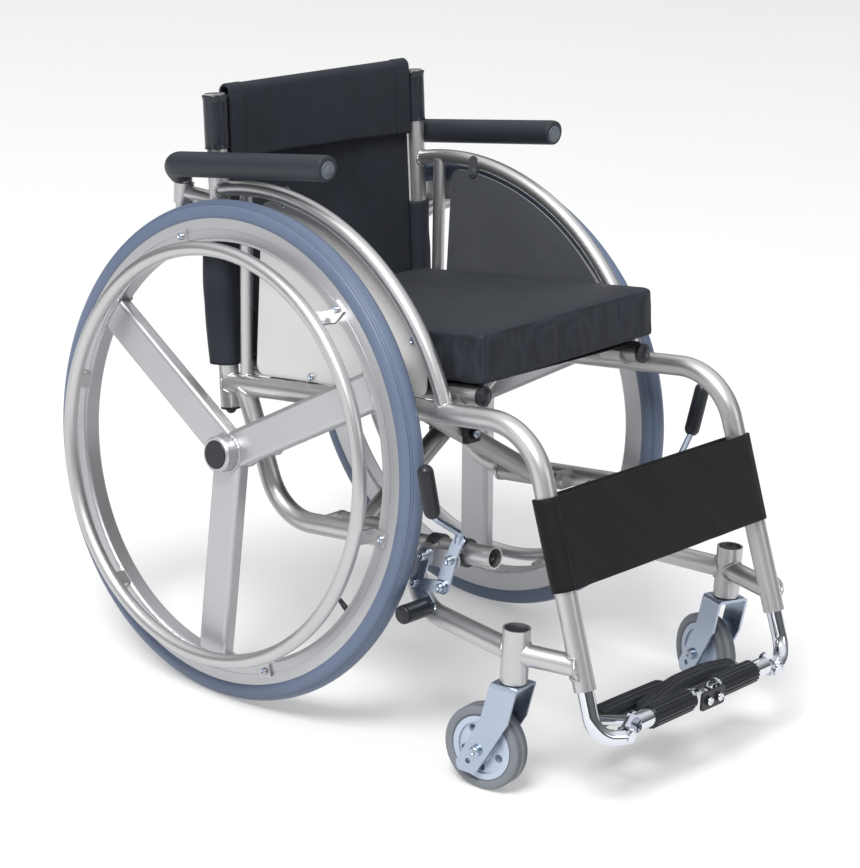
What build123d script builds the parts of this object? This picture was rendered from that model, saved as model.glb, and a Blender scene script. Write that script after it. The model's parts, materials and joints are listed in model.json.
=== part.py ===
"""Manual folding wheelchair, built as an assembly of separate pieces.

Frame: millimetres, +Z up, the floor at z = 0, the chair facing -Y, its left side +X.
Every point is given as (x, d, z), with d the distance behind the rear axle.
The left side is modelled and the right side is its mirror image, apart from the
casters, which stand at their own angles, and the two halves of the footrest.
"""
import math
import os

from build123d import *

# ---------------------------------------------------------------- overall
AXLE_Y = 130.0          # rear axle, so that the chair is centred front to back
FRAME_X = 180.0         # side frame plane, each side of the middle
SEAT_SLOPE = 7.0        # seat rises to the front, degrees
TUBE_R = 12.7           # main frame tube
TUBE_WALL = 2.0
RUN = 0.05              # running clearance of a pin in its hole, radial
GAP = 0.4               # gap between pieces that only rest on each other

# ---------------------------------------------------------------- rear wheel
WHEEL_R = 305.0
TYRE_R = 15.0           # radius of the tyre section
CAMBER = 4.0            # tops of the wheels lean in, degrees
HUB_X = 229.5
RIM_R_IN = 255.0
RIM_R_OUT = 283.4
RIM_HALF = 13.0
SPOKE_W = 46.0
SPOKE_T = 20.0
SPOKE_ANGLES = (30.0, 150.0, 270.0)
HUB_R = 22.0
AXLE_R = 6.0
HANDRIM_R = 249.0
HANDRIM_TUBE_R = 8.6
HANDRIM_OUT = 41.7
TAB_ANGLES = (8.0, 68.0, 128.0, 188.0, 248.0, 308.0)
AXLE_Z = (WHEEL_R - TYRE_R) * math.cos(math.radians(CAMBER)) + TYRE_R

# ---------------------------------------------------------------- side frame
CANE_X = 178.0
CANE_LOW = (57.0, 340.0)
CANE_TOP = (100.5, 722.0)
SEAT_CORNER = (-419.0, 427.8)
DOWN_END = (185.3, -521.3, 147.0)
SEAT_BEND = 76.0
RAIL_CORNER = (-39.5, 219.7)
RAIL_BEND = 70.0
RAIL_END = (-365.0, 259.8)
BARREL_X = 206.4
BARREL_D = -436.7
BARREL_R = 16.0
BARREL_LOW = 137.5
BARREL_TOP = 201.7
BRACE_Z = 172.0
HOOP_R = 314.0
HOOP_TUBE_R = 9.5
POST_R = 8.0

# ---------------------------------------------------------------- cross brace
BRACE_HALF = 174.4      # centre bolt to either end of a bar
BRACE_X = 150.0
PIVOT_N = 214.0
RAIL_N = 391.0
RAIL_R = 11.1
RAIL_S = (8.0, 370.0)
BAR_A_S = 205.0
BAR_B_S = 177.0
SLEEVE_S = (141.5, 234.5)
SLEEVE_R = 11.0

# ---------------------------------------------------------------- caster
CASTER_R = 50.0
CASTER_HALF = 12.5
CASTER_TRAIL = 31.0
CASTER_ANGLE_L = 19.4   # each caster stands turned outward, degrees
CASTER_ANGLE_R = 6.7
STEM_R = 6.0
FORK_IN = 18.5
FORK_T = 3.0

# ---------------------------------------------------------------- footrest
HINGE = (144.6, -553.6, 91.6)
BAR_D = -550.0
BAR_Z = 100.0
LINK_HALF = 10.0        # screws of the middle link, each side of the middle
GRIP_R = 14.0
GRIP_INNER = 29.0
GRIP_OUTER = 100.0

# ---------------------------------------------------------------- brake
BRAKE_X = 203.0
PIN_ARM = (-292.9, 246.5)
PIN_LEVER = (-332.7, 251.8)
BRAKE_CRANK = (8.9, -34.4)
ROLLER = (-306.0, 189.4)
ROLLER_R = 11.0

# ---------------------------------------------------------------- soft parts
CUSHION_HALF = 163.0
CUSHION_S = (-3.0, 378.0)
CUSHION_N = (406.0, 466.5)
SLING_T = 2.5
BACK_HALF = 163.5
STRAP_Z = (252.0, 353.0)

CENTRE_N = PIVOT_N + math.sqrt(BRACE_HALF ** 2 - BRACE_X ** 2)
LEAN = math.degrees(math.atan2(CANE_TOP[0] - CANE_LOW[0], CANE_TOP[1] - CANE_LOW[1]))
SEAT_FRAME = Location((0, AXLE_Y, 0), (-SEAT_SLOPE, 0, 0))


# ================================================================ helpers
def at(x, d, z):
    """Point given by its distance behind the axle."""
    return Vector(x, AXLE_Y + d, z)


def seat(x, s, n):
    """Point in the inclined frame of the seat: s forward along it, n up from it."""
    return Vector(x, -s, n)


def bent(points, radii):
    """Centre line through the points, every inner corner rounded."""
    edges = []
    start = points[0]
    for i, radius in enumerate(radii, start=1):
        corner = points[i]
        back = (points[i - 1] - corner).normalized()
        ahead = (points[i + 1] - corner).normalized()
        half = math.radians(back.get_angle(ahead)) / 2
        reach = radius / math.tan(half)
        middle = (back + ahead).normalized()
        depth = radius / math.sin(half) - radius
        first = corner + back * reach
        last = corner + ahead * reach
        edges.append(Edge.make_line(start, first))
        edges.append(Edge.make_three_point_arc(first, corner + middle * depth, last))
        start = last
    edges.append(Edge.make_line(start, points[-1]))
    return Wire(edges)


def rod(line, radius):
    """Round bar along a centre line."""
    section = Plane(origin=line @ 0, z_dir=line % 0) * Circle(radius)
    return sweep(section, path=line)


def pipe(line, radius, wall=TUBE_WALL):
    """Round tube along a centre line, open at both ends."""
    return rod(line, radius) - rod(line, radius - wall)


def bar(start, end, radius):
    """Straight round bar between two points."""
    return rod(Wire([Edge.make_line(start, end)]), radius)


def along_x(x0, x1, d, z, radius):
    """Round bar parallel to X."""
    return bar(at(x0, d, z), at(x1, d, z), radius)


def along_y(x, d0, d1, z, radius):
    """Round bar parallel to Y."""
    return bar(at(x, d0, z), at(x, d1, z), radius)


def block(x, d, z):
    """Box from three ranges."""
    size = (x[1] - x[0], d[1] - d[0], z[1] - z[0])
    middle = at((x[0] + x[1]) / 2, (d[0] + d[1]) / 2, (z[0] + z[1]) / 2)
    return Pos(middle) * Box(*size)


def plate_x(outline, x0, x1, radius):
    """Flat link across X: the hull of discs centred on the (d, z) outline."""
    discs = [Pos(AXLE_Y + d, z) * Circle(radius) for d, z in outline]
    plane = Plane(origin=(x0, 0, 0), x_dir=(0, 1, 0), z_dir=(1, 0, 0))
    return extrude(plane * make_hull(Sketch(children=discs).edges()), x1 - x0)


def plate_y(outline, d0, d1, radius):
    """Flat link across Y: the hull of discs centred on the (x, z) outline."""
    discs = [Pos(x, z) * Circle(radius) for x, z in outline]
    plane = Plane(origin=(0, AXLE_Y + d0, 0), x_dir=(1, 0, 0), z_dir=(0, -1, 0))
    return extrude(plane * make_hull(Sketch(children=discs).edges()), d0 - d1)


def flip(shape):
    """The same piece on the right side."""
    return mirror(shape, about=Plane.YZ)


def save(name, shape):
    """Write one piece, checked to be solid."""
    solids = shape.solids()
    print(f"{name:18s} {len(solids)} solid, {sum(s.volume for s in solids) / 1000:9.2f} cm3")
    body = solids[0] if len(solids) == 1 else Compound(children=list(solids))
    body.label = name
    export_step(body, f"parts/{name}.step")


def save_pair(name, shape):
    """Write a left piece and its mirror image."""
    save("left_" + name, shape)
    save("right_" + name, flip(shape))


os.makedirs("parts", exist_ok=True)

# ================================================================ centre lines
seat_slope = math.tan(math.radians(SEAT_SLOPE))
cane_line = Wire([Edge.make_line(at(CANE_X, *CANE_LOW), at(CANE_X, *CANE_TOP))])
cane_lean = (CANE_TOP[0] - CANE_LOW[0]) / (CANE_TOP[1] - CANE_LOW[1])


def cane_d(z):
    """How far behind the axle the cane is at a height."""
    return CANE_LOW[0] + (z - CANE_LOW[1]) * cane_lean


def seat_tube_z(d):
    """Height of the seat tube's centre line."""
    return SEAT_CORNER[1] - (d - SEAT_CORNER[0]) * seat_slope


seat_line = bent(
    [at(FRAME_X, 60.0, seat_tube_z(60.0)), at(FRAME_X, *SEAT_CORNER), at(*DOWN_END)],
    [SEAT_BEND],
)
rail_line = bent(
    [at(FRAME_X, 31.7, seat_tube_z(31.7)), at(FRAME_X, *RAIL_CORNER), at(FRAME_X, *RAIL_END)],
    [RAIL_BEND],
)
brace_line = bent(
    [at(FRAME_X, -247.0, 245.3), at(182.0, -278.0, BRACE_Z), at(BARREL_X, BARREL_D, BRACE_Z)],
    [45.0],
)
link_line = Wire([Edge.make_line(at(BARREL_X, BARREL_D, BRACE_Z), at(184.8, -512.2, BRACE_Z))])

cane_full = rod(cane_line, TUBE_R)
seat_full = rod(seat_line, TUBE_R)
rail_full = rod(rail_line, TUBE_R)

# ================================================================ side frame
back_cane = pipe(cane_line, TUBE_R)
seat_tube = rod(seat_line, TUBE_R) - rod(seat_line, 9.7) - cane_full

wheel_plane = Plane(
    origin=at(HUB_X, 0, AXLE_Z),
    x_dir=(0, 1, 0),
    z_dir=(math.cos(math.radians(CAMBER)), 0, math.sin(math.radians(CAMBER))),
)


def axle_piece(w0, w1, radius):
    """Disc or bar on the axle line; w counts outward from the wheel's plane."""
    return wheel_plane * (Pos(0, 0, (w0 + w1) / 2) * Cylinder(radius, w1 - w0))


collar = axle_piece(-76.0, -26.5, 14.0)
axle_bore = axle_piece(-90.0, -20.0, AXLE_R + RUN)
barrel_full = Pos(at(BARREL_X, BARREL_D, (BARREL_LOW + BARREL_TOP) / 2)) * Cylinder(
    BARREL_R, BARREL_TOP - BARREL_LOW
)
stem_bore = Pos(at(BARREL_X, BARREL_D, 165.0)) * Cylinder(STEM_R + RUN, 80.0)
cap_bore = Pos(at(BARREL_X, BARREL_D, 200.0)) * Cylinder(14.0, 10.0)

rail_tubes = pipe(rail_line, TUBE_R) + collar
brace_tube = pipe(brace_line, TUBE_R) - rail_full - barrel_full
link_tube = pipe(link_line, TUBE_R) - barrel_full - seat_full
lower_rail = rail_tubes - seat_full - axle_bore + brace_tube + link_tube
lower_rail = lower_rail + (barrel_full - stem_bore - cap_bore)

# ---------------------------------------------------------------- wheel guard
def on_hoop(angle, radius=HOOP_R):
    """Point on a circle about the axle, the angle counted from the rear upward."""
    turn = math.radians(angle)
    return at(FRAME_X, radius * math.cos(turn), 304.4 + radius * math.sin(turn))


hoop_line = Wire([Edge.make_three_point_arc(on_hoop(74.0), on_hoop(117.0), on_hoop(160.5))])
hoop_full = rod(hoop_line, HOOP_TUBE_R)
post_line = Wire([Edge.make_line(at(176.0, 32.5, 378.0), at(176.0, 43.2, 613.0))])
guard_post = rod(post_line, POST_R) - seat_full - hoop_full
guard_hoop = pipe(hoop_line, HOOP_TUBE_R, 1.6) - cane_full - seat_full + guard_post
guard_hoop = guard_hoop - back_cane

# ---------------------------------------------------------------- side panel
panel_edge = Edge.make_three_point_arc(
    Vector(AXLE_Y + 18.0, 304.4 + math.sqrt(301.0 ** 2 - 18.0 ** 2)),
    Vector(AXLE_Y - 120.0, 304.4 + math.sqrt(301.0 ** 2 - 120.0 ** 2)),
    Vector(AXLE_Y - 257.0, 304.4 + math.sqrt(301.0 ** 2 - 257.0 ** 2)),
)
panel_low_back = Vector(AXLE_Y + 18.0, seat_tube_z(18.0) + 13.5)
panel_low_front = Vector(AXLE_Y - 257.0, seat_tube_z(-257.0) + 13.5)
panel_sides = [
    Edge.make_line(panel_edge @ 1, panel_low_front),
    Edge.make_line(panel_low_front, panel_low_back),
    Edge.make_line(panel_low_back, panel_edge @ 0),
]
panel_face = Face(Wire([panel_edge] + panel_sides))
panel_sketch = fillet(Sketch(children=[panel_face]).vertices(), 14.0)
panel_plane = Plane(origin=(172.0, 0, 0), x_dir=(0, 1, 0), z_dir=(1, 0, 0))
side_panel = extrude(panel_plane * panel_sketch, 2.0)
for d, z in ((-234.0, 484.0), (-18.0, 606.0)):
    away = Vector(0, d, z - 304.4).normalized()
    clip = plate_x([(d, z), (d + away.Y * 14, z + away.Z * 14)], 170.0, 172.0, 7.0)
    side_panel = side_panel + clip + along_x(168.5, 176.0, d, z, 4.0)
for d in (-200.0, -75.0):
    z = seat_tube_z(d)
    clip = plate_x([(d, z + 20.0), (d, z + 8.0)], 170.0, 172.0, 8.0)
    side_panel = side_panel + clip + along_x(168.5, 176.0, d, z + 20.0, 4.0)
side_panel = side_panel - hoop_full - seat_full

# ---------------------------------------------------------------- brackets
def ring_s(x, n, s0, s1, radius):
    """Round bar along the seat's slope."""
    return bar(seat(x, s0, n), seat(x, s1, n), radius)


def cradle(s0, s1):
    """Open saddle under a seat rail, welded to the seat tube."""
    saddle = ring_s(BRACE_X, RAIL_N, s0, s1, RAIL_R + 4.4)
    web = Pos(160.0, -(s0 + s1) / 2, 380.0) * Box(20.0, s1 - s0, 8.0)
    room = Pos(BRACE_X, -(s0 + s1) / 2, RAIL_N + 11.0) * Box(2 * RAIL_R + 0.8, 60.0, 22.0)
    lid = Pos(BRACE_X, -(s0 + s1) / 2, RAIL_N + 13.0) * Box(40.0, 60.0, 20.0)
    return saddle + web - ring_s(BRACE_X, RAIL_N, s0 - 5, s1 + 5, RAIL_R + GAP) - room - lid


def ear(s0, s1):
    """Plate that holds the lower pivot of the cross brace."""
    arm = Pos(166.0, -(s0 + s1) / 2, 213.6) * Box(32.0, s1 - s0, 24.0)
    return ring_s(BRACE_X, PIVOT_N, s0, s1, 12.0) + arm


brace_bolt = ring_s(BRACE_X, PIVOT_N, 131.0, 245.0, 4.0)
bolt_heads = ring_s(BRACE_X, PIVOT_N, 131.0, 137.0, 7.5) + ring_s(
    BRACE_X, PIVOT_N, 239.0, 245.0, 7.5
)
in_seat = cradle(46.0, 91.0) + cradle(319.0, 349.0)
in_seat = in_seat + ear(137.0, 141.0) + ear(235.0, 239.0) + brace_bolt + bolt_heads
brackets = SEAT_FRAME * in_seat

socket = Pos(at(CANE_X, 150.0, 592.5)) * Cylinder(12.5, 25.0)
arm_stub = along_y(CANE_X, 86.0, 150.0, 593.0, 9.3)
arm_bore = Pos(at(CANE_X, 150.0, 592.0)) * Cylinder(7.0 + RUN, 60.0)
brackets = brackets + (socket + arm_stub - arm_bore)

brake_plate = plate_x([PIN_ARM, PIN_LEVER], 199.5, 202.5, 11.0)
for d in (-292.9, -332.7):
    z = 259.8 - (d + 365.0) * seat_slope
    ahead = Vector(0, -1, seat_slope).normalized() * 6.5
    clamp = bar(at(FRAME_X, d, z) - ahead, at(FRAME_X, d, z) + ahead, 16.0)
    brake_plate = brake_plate + clamp + block((180.0, 200.0), (d - 6.5, d + 6.5), (z - 9, z + 9))
for d, z in (PIN_ARM, PIN_LEVER):
    brake_plate = brake_plate + along_x(202.0, 206.6, d, z, 3.0) + along_x(206.4, 209.4, d, z, 5.5)
brackets = brackets + brake_plate
brackets = brackets - cane_full - seat_full - rail_full

# ---------------------------------------------------------------- plugs
inner_r = TUBE_R - TUBE_WALL


def plug(line_point, direction, depth):
    """Domed plug closing a tube end."""
    out = direction.normalized()
    head = bar(line_point, line_point + out * 3.0, TUBE_R)
    head = head + Pos(line_point + out * 3.0) * Sphere(7.0) - bar(
        line_point, line_point - out * 12.0, TUBE_R
    )
    return head + bar(line_point, line_point - out * depth, inner_r)


cane_dir = Vector(0, cane_lean, 1).normalized()
cane_plug = plug(at(CANE_X, *CANE_LOW), cane_dir * -1, 10.0)
rail_plug = plug(at(FRAME_X, *RAIL_END), Vector(0, -1, seat_slope), 10.0)
barrel_cap = Pos(at(BARREL_X, BARREL_D, 197.5)) * Cylinder(14.0, 3.0)
frame_plugs = cane_plug + rail_plug + barrel_cap

save_pair("back_cane", back_cane)
save_pair("seat_tube", seat_tube)
save_pair("lower_rail", lower_rail)
save_pair("guard_hoop", guard_hoop)
save_pair("side_panel", side_panel)
save_pair("brackets", brackets)
save_pair("frame_plugs", frame_plugs)

# ================================================================ armrests
arm_line = bent(
    [at(206.5, -112.0, 668.0), at(206.5, 137.0, 633.0), at(CANE_X, 150.0, 612.0),
     at(CANE_X, 150.0, 578.0)],
    [20.0, 12.0],
)
arm_foot = Pos(at(CANE_X, 150.0, 609.5)) * Cylinder(10.0, 8.0)
arm_post = Pos(at(CANE_X, 150.0, 590.0)) * Cylinder(7.0, 40.0)
arm_nut = Pos(at(CANE_X, 150.0, 575.6)) * Cylinder(10.0, 8.0)
pad_line = bent(
    [at(206.5, -115.0, 668.4), at(206.5, 137.0, 633.0), at(188.8, 145.1, 620.0)], [20.0]
)
arm_tube = rod(arm_line, 9.5) - Pos(at(CANE_X, 150.0, 588.0)) * Cylinder(14.0, 35.0)
arm_tube = arm_tube + arm_foot + arm_post + arm_nut
pad_full = rod(pad_line, 15.5) + Pos(at(206.5, -115.0, 668.4)) * Sphere(15.5)
pad_cut = block((180.0, 230.0), (-150.0, -119.5), (640.0, 700.0))
pad_button = Pos(at(206.5, -104.5, 667.0)) * Sphere(18.0)
pad_button = pad_button & block((180.0, 230.0), (-125.0, -119.0), (640.0, 700.0))
armrest_pad = pad_full - pad_cut - rod(arm_line, 9.5) + pad_button
save_pair("armrest_tube", arm_tube)
save_pair("armrest_pad", armrest_pad)

# ================================================================ brakes
pin_link_arm = (PIN_ARM[0] + BRAKE_CRANK[0], PIN_ARM[1] + BRAKE_CRANK[1])
pin_link_lever = (PIN_LEVER[0] + BRAKE_CRANK[0], PIN_LEVER[1] + BRAKE_CRANK[1])
LEVER_BEND = (-345.0, 282.0)

lever_plate = plate_x([pin_link_lever, PIN_LEVER], BRAKE_X, BRAKE_X + 3.0, 9.0)
lever_plate = lever_plate + plate_x([PIN_LEVER, LEVER_BEND], BRAKE_X, BRAKE_X + 3.0, 7.0)
handle_line = bent(
    [at(204.8, -342.5, 276.0), at(208.0, -347.0, 289.0), at(244.0, -338.0, 314.0),
     at(260.0, -338.0, 366.0)],
    [8.0, 16.0],
)
lever = lever_plate + rod(handle_line, 4.0)
lever = lever - along_x(200.0, 210.0, *PIN_LEVER, 3.0 + RUN)
lever = lever + along_x(BRAKE_X + 1, 209.4, *pin_link_lever, 3.0)
lever = lever + along_x(209.4, 211.4, *pin_link_lever, 5.0)

grip_up = Vector(16.0, 0.0, 52.0).normalized()
grip_low = at(247.0, -338.0, 322.0)
grip_high = grip_low + grip_up * 50.0
brake_grip = bar(grip_low, grip_high, 9.5) + Pos(grip_high) * Sphere(9.5)
brake_grip = brake_grip + Pos(grip_low) * Sphere(9.5) - rod(handle_line, 4.0)

arm_plate = plate_x([PIN_ARM, pin_link_arm], BRAKE_X, BRAKE_X + 3.0, 9.0)
arm_plate = arm_plate + plate_x([pin_link_arm, ROLLER], BRAKE_X, BRAKE_X + 3.0, 8.0)
brake_arm = arm_plate - along_x(200.0, 210.0, *PIN_ARM, 3.0 + RUN)
brake_arm = brake_arm + along_x(BRAKE_X + 1, 209.4, *pin_link_arm, 3.0)
brake_arm = brake_arm + along_x(209.4, 211.4, *pin_link_arm, 5.0)
brake_arm = brake_arm + along_x(BRAKE_X + 1, 251.5, *ROLLER, 4.0)
brake_roller = along_x(212.0, 250.0, *ROLLER, ROLLER_R) - along_x(200.0, 260.0, *ROLLER, 4.0)

brake_link = plate_x([pin_link_arm, pin_link_lever], 206.4, 209.0, 7.5)
for pin in (pin_link_arm, pin_link_lever):
    brake_link = brake_link - along_x(200.0, 212.0, *pin, 3.0 + RUN)

save_pair("brake_lever", lever)
save_pair("brake_grip", brake_grip)
save_pair("brake_arm", brake_arm)
save_pair("brake_roller", brake_roller)
save_pair("brake_link", brake_link)

# ================================================================ rear wheel
rim_section = Pos((RIM_R_IN + RIM_R_OUT) / 2, 0) * Rectangle(RIM_R_OUT - RIM_R_IN, 2 * RIM_HALF)
rim_corners = [v for v in rim_section.vertices() if v.X < RIM_R_IN + 1]
rim_section = fillet(rim_corners, 5.0)
rim_section = rim_section - Pos(270.0, RIM_HALF) * Rectangle(1.4, 1.2)
rim = revolve(Plane.XZ * rim_section, Axis.Z)
tyre_section = Pos(WHEEL_R - TYRE_R, 0) * Circle(TYRE_R) - Pos(RIM_R_OUT - 20, 0) * Rectangle(40, 40)
tyre = revolve(Plane.XZ * tyre_section, Axis.Z)
hub = Pos(0, 0, 1.25) * Cylinder(HUB_R, 54.5)
hub = chamfer(hub.edges().group_by(Axis.Z)[-1], 2.0)
wheel = rim + hub
for angle in SPOKE_ANGLES:
    spoke = Pos((RIM_R_IN + 12.0) / 2, 0, 0) * Box(RIM_R_IN - 6.0, SPOKE_W, SPOKE_T)
    spoke = fillet(spoke.edges().filter_by(Axis.X), 6.0)
    wheel = wheel + Rot(0, 0, angle) * spoke
spindle = Pos(0, 0, -55.0) * Cylinder(AXLE_R, 60.0)
spindle_nut = Pos(0, 0, -80.5) * Cylinder(9.0, 8.0)
cap_seat = Pos(0, 0, 26.5) * Cylinder(17.5, 5.0)
wheel = wheel + spindle + spindle_nut - cap_seat
axle_cap = Pos(0, 0, 27.0) * Cylinder(17.5, 6.0)
axle_cap = fillet(axle_cap.edges().group_by(Axis.Z)[-1], 1.5)

handrim = Pos(0, 0, HANDRIM_OUT) * Torus(HANDRIM_R, HANDRIM_TUBE_R)
for angle in TAB_ANGLES:
    leg = Pos(254.0, 0, 24.5) * Box(3.0, 18.0, 23.0)
    foot = Pos(264.0, 0, RIM_HALF + 1.5) * Box(20.0, 18.0, 3.0)
    screw = Pos(267.0, 0, RIM_HALF + 4.0) * Cylinder(4.0, 2.4)
    handrim = handrim + Rot(0, 0, angle) * (leg + foot + screw)

save_pair("wheel", wheel_plane * wheel)
save_pair("tyre", wheel_plane * tyre)
save_pair("handrim", wheel_plane * handrim)
save_pair("axle_cap", wheel_plane * axle_cap)


# ================================================================ casters
def caster_pieces():
    """Fork, wheel and tyre about the stem, trailing to +Y, heights from the floor."""
    outer = FORK_IN + FORK_T
    u_outer = Pos(0, 66.5) * RectangleRounded(2 * outer, 140.0, 5.0)
    u_inner = Pos(0, 64.0) * RectangleRounded(2 * FORK_IN, 137.0, 3.0)
    channel = Plane(origin=(0, 90, 0), x_dir=(1, 0, 0), z_dir=(0, -1, 0)) * (u_outer - u_inner)
    channel = extrude(channel, 150.0)
    side = Polyline(
        [(-17.5, 137.0), (17.5, 137.0), (27.5, 92.0), (57.5, 30.0), (54.0, 20.5), (31.0, 20.5),
         (-8.0, 91.0)],
        close=True,
    )
    side = fillet(make_face(side).vertices().sort_by(Axis.Y)[0:3], 5.0)
    profile = Plane(origin=(-40, 0, 0), x_dir=(0, 1, 0), z_dir=(1, 0, 0)) * side
    fork = channel & extrude(profile, 80.0)
    bolt_y = CASTER_TRAIL
    bolt = Pos(0, bolt_y, CASTER_R) * Rot(0, 90, 0) * Cylinder(4.0, 2 * outer + 8.0)
    heads = Pos(outer + 2.0, bolt_y, CASTER_R) * Rot(0, 90, 0) * Cylinder(7.0, 4.0)
    heads = heads + Pos(-outer - 2.0, bolt_y, CASTER_R) * Rot(0, 90, 0) * Cylinder(7.0, 4.0)
    spare = Pos(0, bolt_y + 10.0, CASTER_R - 15.0) * Rot(0, 90, 0) * Cylinder(3.5, 60.0)
    fork = fork - spare + bolt + heads
    stem = Pos(0, 0, 164.0) * Cylinder(STEM_R, 62.0)
    spacer = Pos(0, 0, 136.9) * Cylinder(11.0, 0.6)
    fork = fork + stem + spacer

    hub_section = Pos(20.0, 0) * Rectangle(32.0, 16.0) + Pos(10.0, 0) * Rectangle(12.0, 34.0)
    hub_section = hub_section + Pos(34.5, 0) * Rectangle(7.0, 21.0)
    hub_section = hub_section & (Pos(30.0 + 4.0 + RUN, 0) * Rectangle(60.0, 60.0))
    hub = revolve(Plane.XZ * hub_section, Axis.Z)
    for k in range(5):
        hub = hub - Rot(0, 0, 72.0 * k) * Pos(24.0, 0, 0) * Cylinder(5.0, 40.0)
    tread = Pos(44.0, 0) * RectangleRounded(12.0, 2 * CASTER_HALF, 4.5)
    for w in (-7.5, -4.5, 4.5, 7.5):
        tread = tread - Pos(50.0, w) * Rectangle(1.4, 0.9)
    tyre = revolve(Plane.XZ * tread, Axis.Z)
    upright = Pos(0, bolt_y, CASTER_R) * Rot(0, 90, 0)
    return fork, upright * hub, upright * tyre


fork, caster_wheel, caster_tyre = caster_pieces()
for side, angle in (("left", CASTER_ANGLE_L), ("right", CASTER_ANGLE_R)):
    stand = Location((BARREL_X, AXLE_Y + BARREL_D, 0), (0, 0, -angle))
    for name, piece in (("caster_fork", fork), ("caster_wheel", caster_wheel),
                        ("caster_tyre", caster_tyre)):
        placed = stand * piece
        save(f"{side}_{name}", placed if side == "left" else flip(placed))

# ================================================================ footrest
hanger_line = bent(
    [at(184.3, -502.0, 200.0), at(186.1, -540.0, 95.5), at(153.0, -553.0, 91.6)],
    [30.0],
)
hanger = rod(hanger_line, 9.5) + Pos(at(*HINGE)) * Rot(90, 0, 0) * Cylinder(9.5, 6.0)
hanger = hanger + block((146.0, 156.0), (-556.6, -550.6), (84.0, 99.0))
room = Pos(at(HINGE[0], -545.0, HINGE[2])) * Rot(90, 0, 0) * Cylinder(21.0, 11.2)
hanger = hanger - room
hanger = hanger + along_y(HINGE[0], -561.0, -543.0, HINGE[2], 4.0)
hanger = hanger + along_y(HINGE[0], -561.0, -556.0, HINGE[2], 7.0)
hanger = hanger + along_y(HINGE[0], -545.2, -542.0, HINGE[2], 7.0)
save_pair("hanger_tube", hanger)

fluted = Circle(GRIP_R) - PolarLocations(GRIP_R, 18) * Circle(1.2)


def foot_half(rear_d, rear_points, tongue_d):
    """Bars and grips of one half of the footrest, on the left side."""
    core = 9.5
    stub = along_x(128.0, GRIP_INNER - 4.0, BAR_D, BAR_Z, core)
    stub = stub + along_x(128.0, GRIP_OUTER, BAR_D, BAR_Z, 11.0)
    hinge_plate = plate_y([(HINGE[0], HINGE[2]), (130.0, 107.0), (122.0, 97.0)], -545.6, -549.8, 8.0)
    hole = along_y(HINGE[0], -560.0, -540.0, HINGE[2], 4.0 + RUN)
    tongue = plate_y([(GRIP_INNER, BAR_Z), (LINK_HALF, BAR_Z)], tongue_d[1], tongue_d[0], 8.0)
    rear = bent([at(x, rear_d, z) for x, z in rear_points], [60.0] * (len(rear_points) - 2))
    side_x = rear_points[0][0] - 6.0
    side = bar(at(side_x, BAR_D, BAR_Z), at(side_x, rear_d, rear_points[0][1]), 6.0)
    frame = stub + side + rod(rear, 8.0) + hinge_plate - hole + tongue
    frame = frame - along_y(LINK_HALF, -600.0, -500.0, BAR_Z, 3.0 + RUN)
    sleeve = Plane(origin=at(GRIP_INNER, BAR_D, BAR_Z), z_dir=(1, 0, 0)) * fluted
    grips = extrude(sleeve, GRIP_OUTER - GRIP_INNER)
    end_x, end_z = rear_points[-1]
    rear_grip = rod(rear, 13.0) + Pos(at(end_x, rear_d, end_z)) * Sphere(13.0)
    rear_grip = rear_grip - block((rear_points[0][0] - 13.0, 200.0), (-600, -400), (0, 200))
    grips = grips + rear_grip - frame
    return frame, grips


arched = [(124.0, 86.0), (60.0, 96.0), (0.0, 96.0), (-55.0, 82.0)]
straight = [(124.0, 81.0), (60.0, 81.0), (-8.0, 80.0)]
left_foot, left_grips = foot_half(-513.0, arched, (-556.0, -552.0))
right_foot, right_grips = foot_half(-485.5, straight, (-549.0, -545.0))
save("left_foot_frame", left_foot)
save("left_foot_grip", left_grips)
save("right_foot_frame", flip(right_foot))
save("right_foot_grip", flip(right_grips))

foot_link = block((-22.0, 22.0), (-568.0, -564.6), (BAR_Z - 11.0, BAR_Z + 11.0))
foot_link = fillet(foot_link.edges().filter_by(Axis.Y), 3.0)
foot_link = foot_link + along_y(LINK_HALF, -571.0, -551.0, BAR_Z, 3.0)
foot_link = foot_link + along_y(LINK_HALF, -571.0, -568.0, BAR_Z, 5.5)
foot_link = foot_link + along_y(LINK_HALF, -564.8, -556.6, BAR_Z, 5.5)
foot_link = foot_link + along_y(-LINK_HALF, -571.0, -568.0, BAR_Z, 5.5)
save("foot_link", foot_link)


# ================================================================ cross brace
def cross_bar(lower_x, s):
    """One bar with its lower sleeve and the seat rail on its upper end."""
    upper_x = -lower_x
    sleeve = ring_s(lower_x, PIVOT_N, *SLEEVE_S, SLEEVE_R)
    rail = ring_s(upper_x, RAIL_N, *RAIL_S, RAIL_R)
    line = Wire([Edge.make_line(seat(lower_x, s, PIVOT_N), seat(upper_x, s, RAIL_N))])
    bare = rod(line, TUBE_R) - sleeve - rail
    bore = ring_s(lower_x, PIVOT_N, 100.0, 300.0, 4.0 + RUN)
    mouths = ring_s(upper_x, RAIL_N, 0.0, RAIL_S[0] + 11.0, RAIL_R - 2.0)
    mouths = mouths + ring_s(upper_x, RAIL_N, RAIL_S[1] - 11.0, 380.0, RAIL_R - 2.0)
    return bare + (sleeve - bore) + (rail - mouths)


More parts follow.
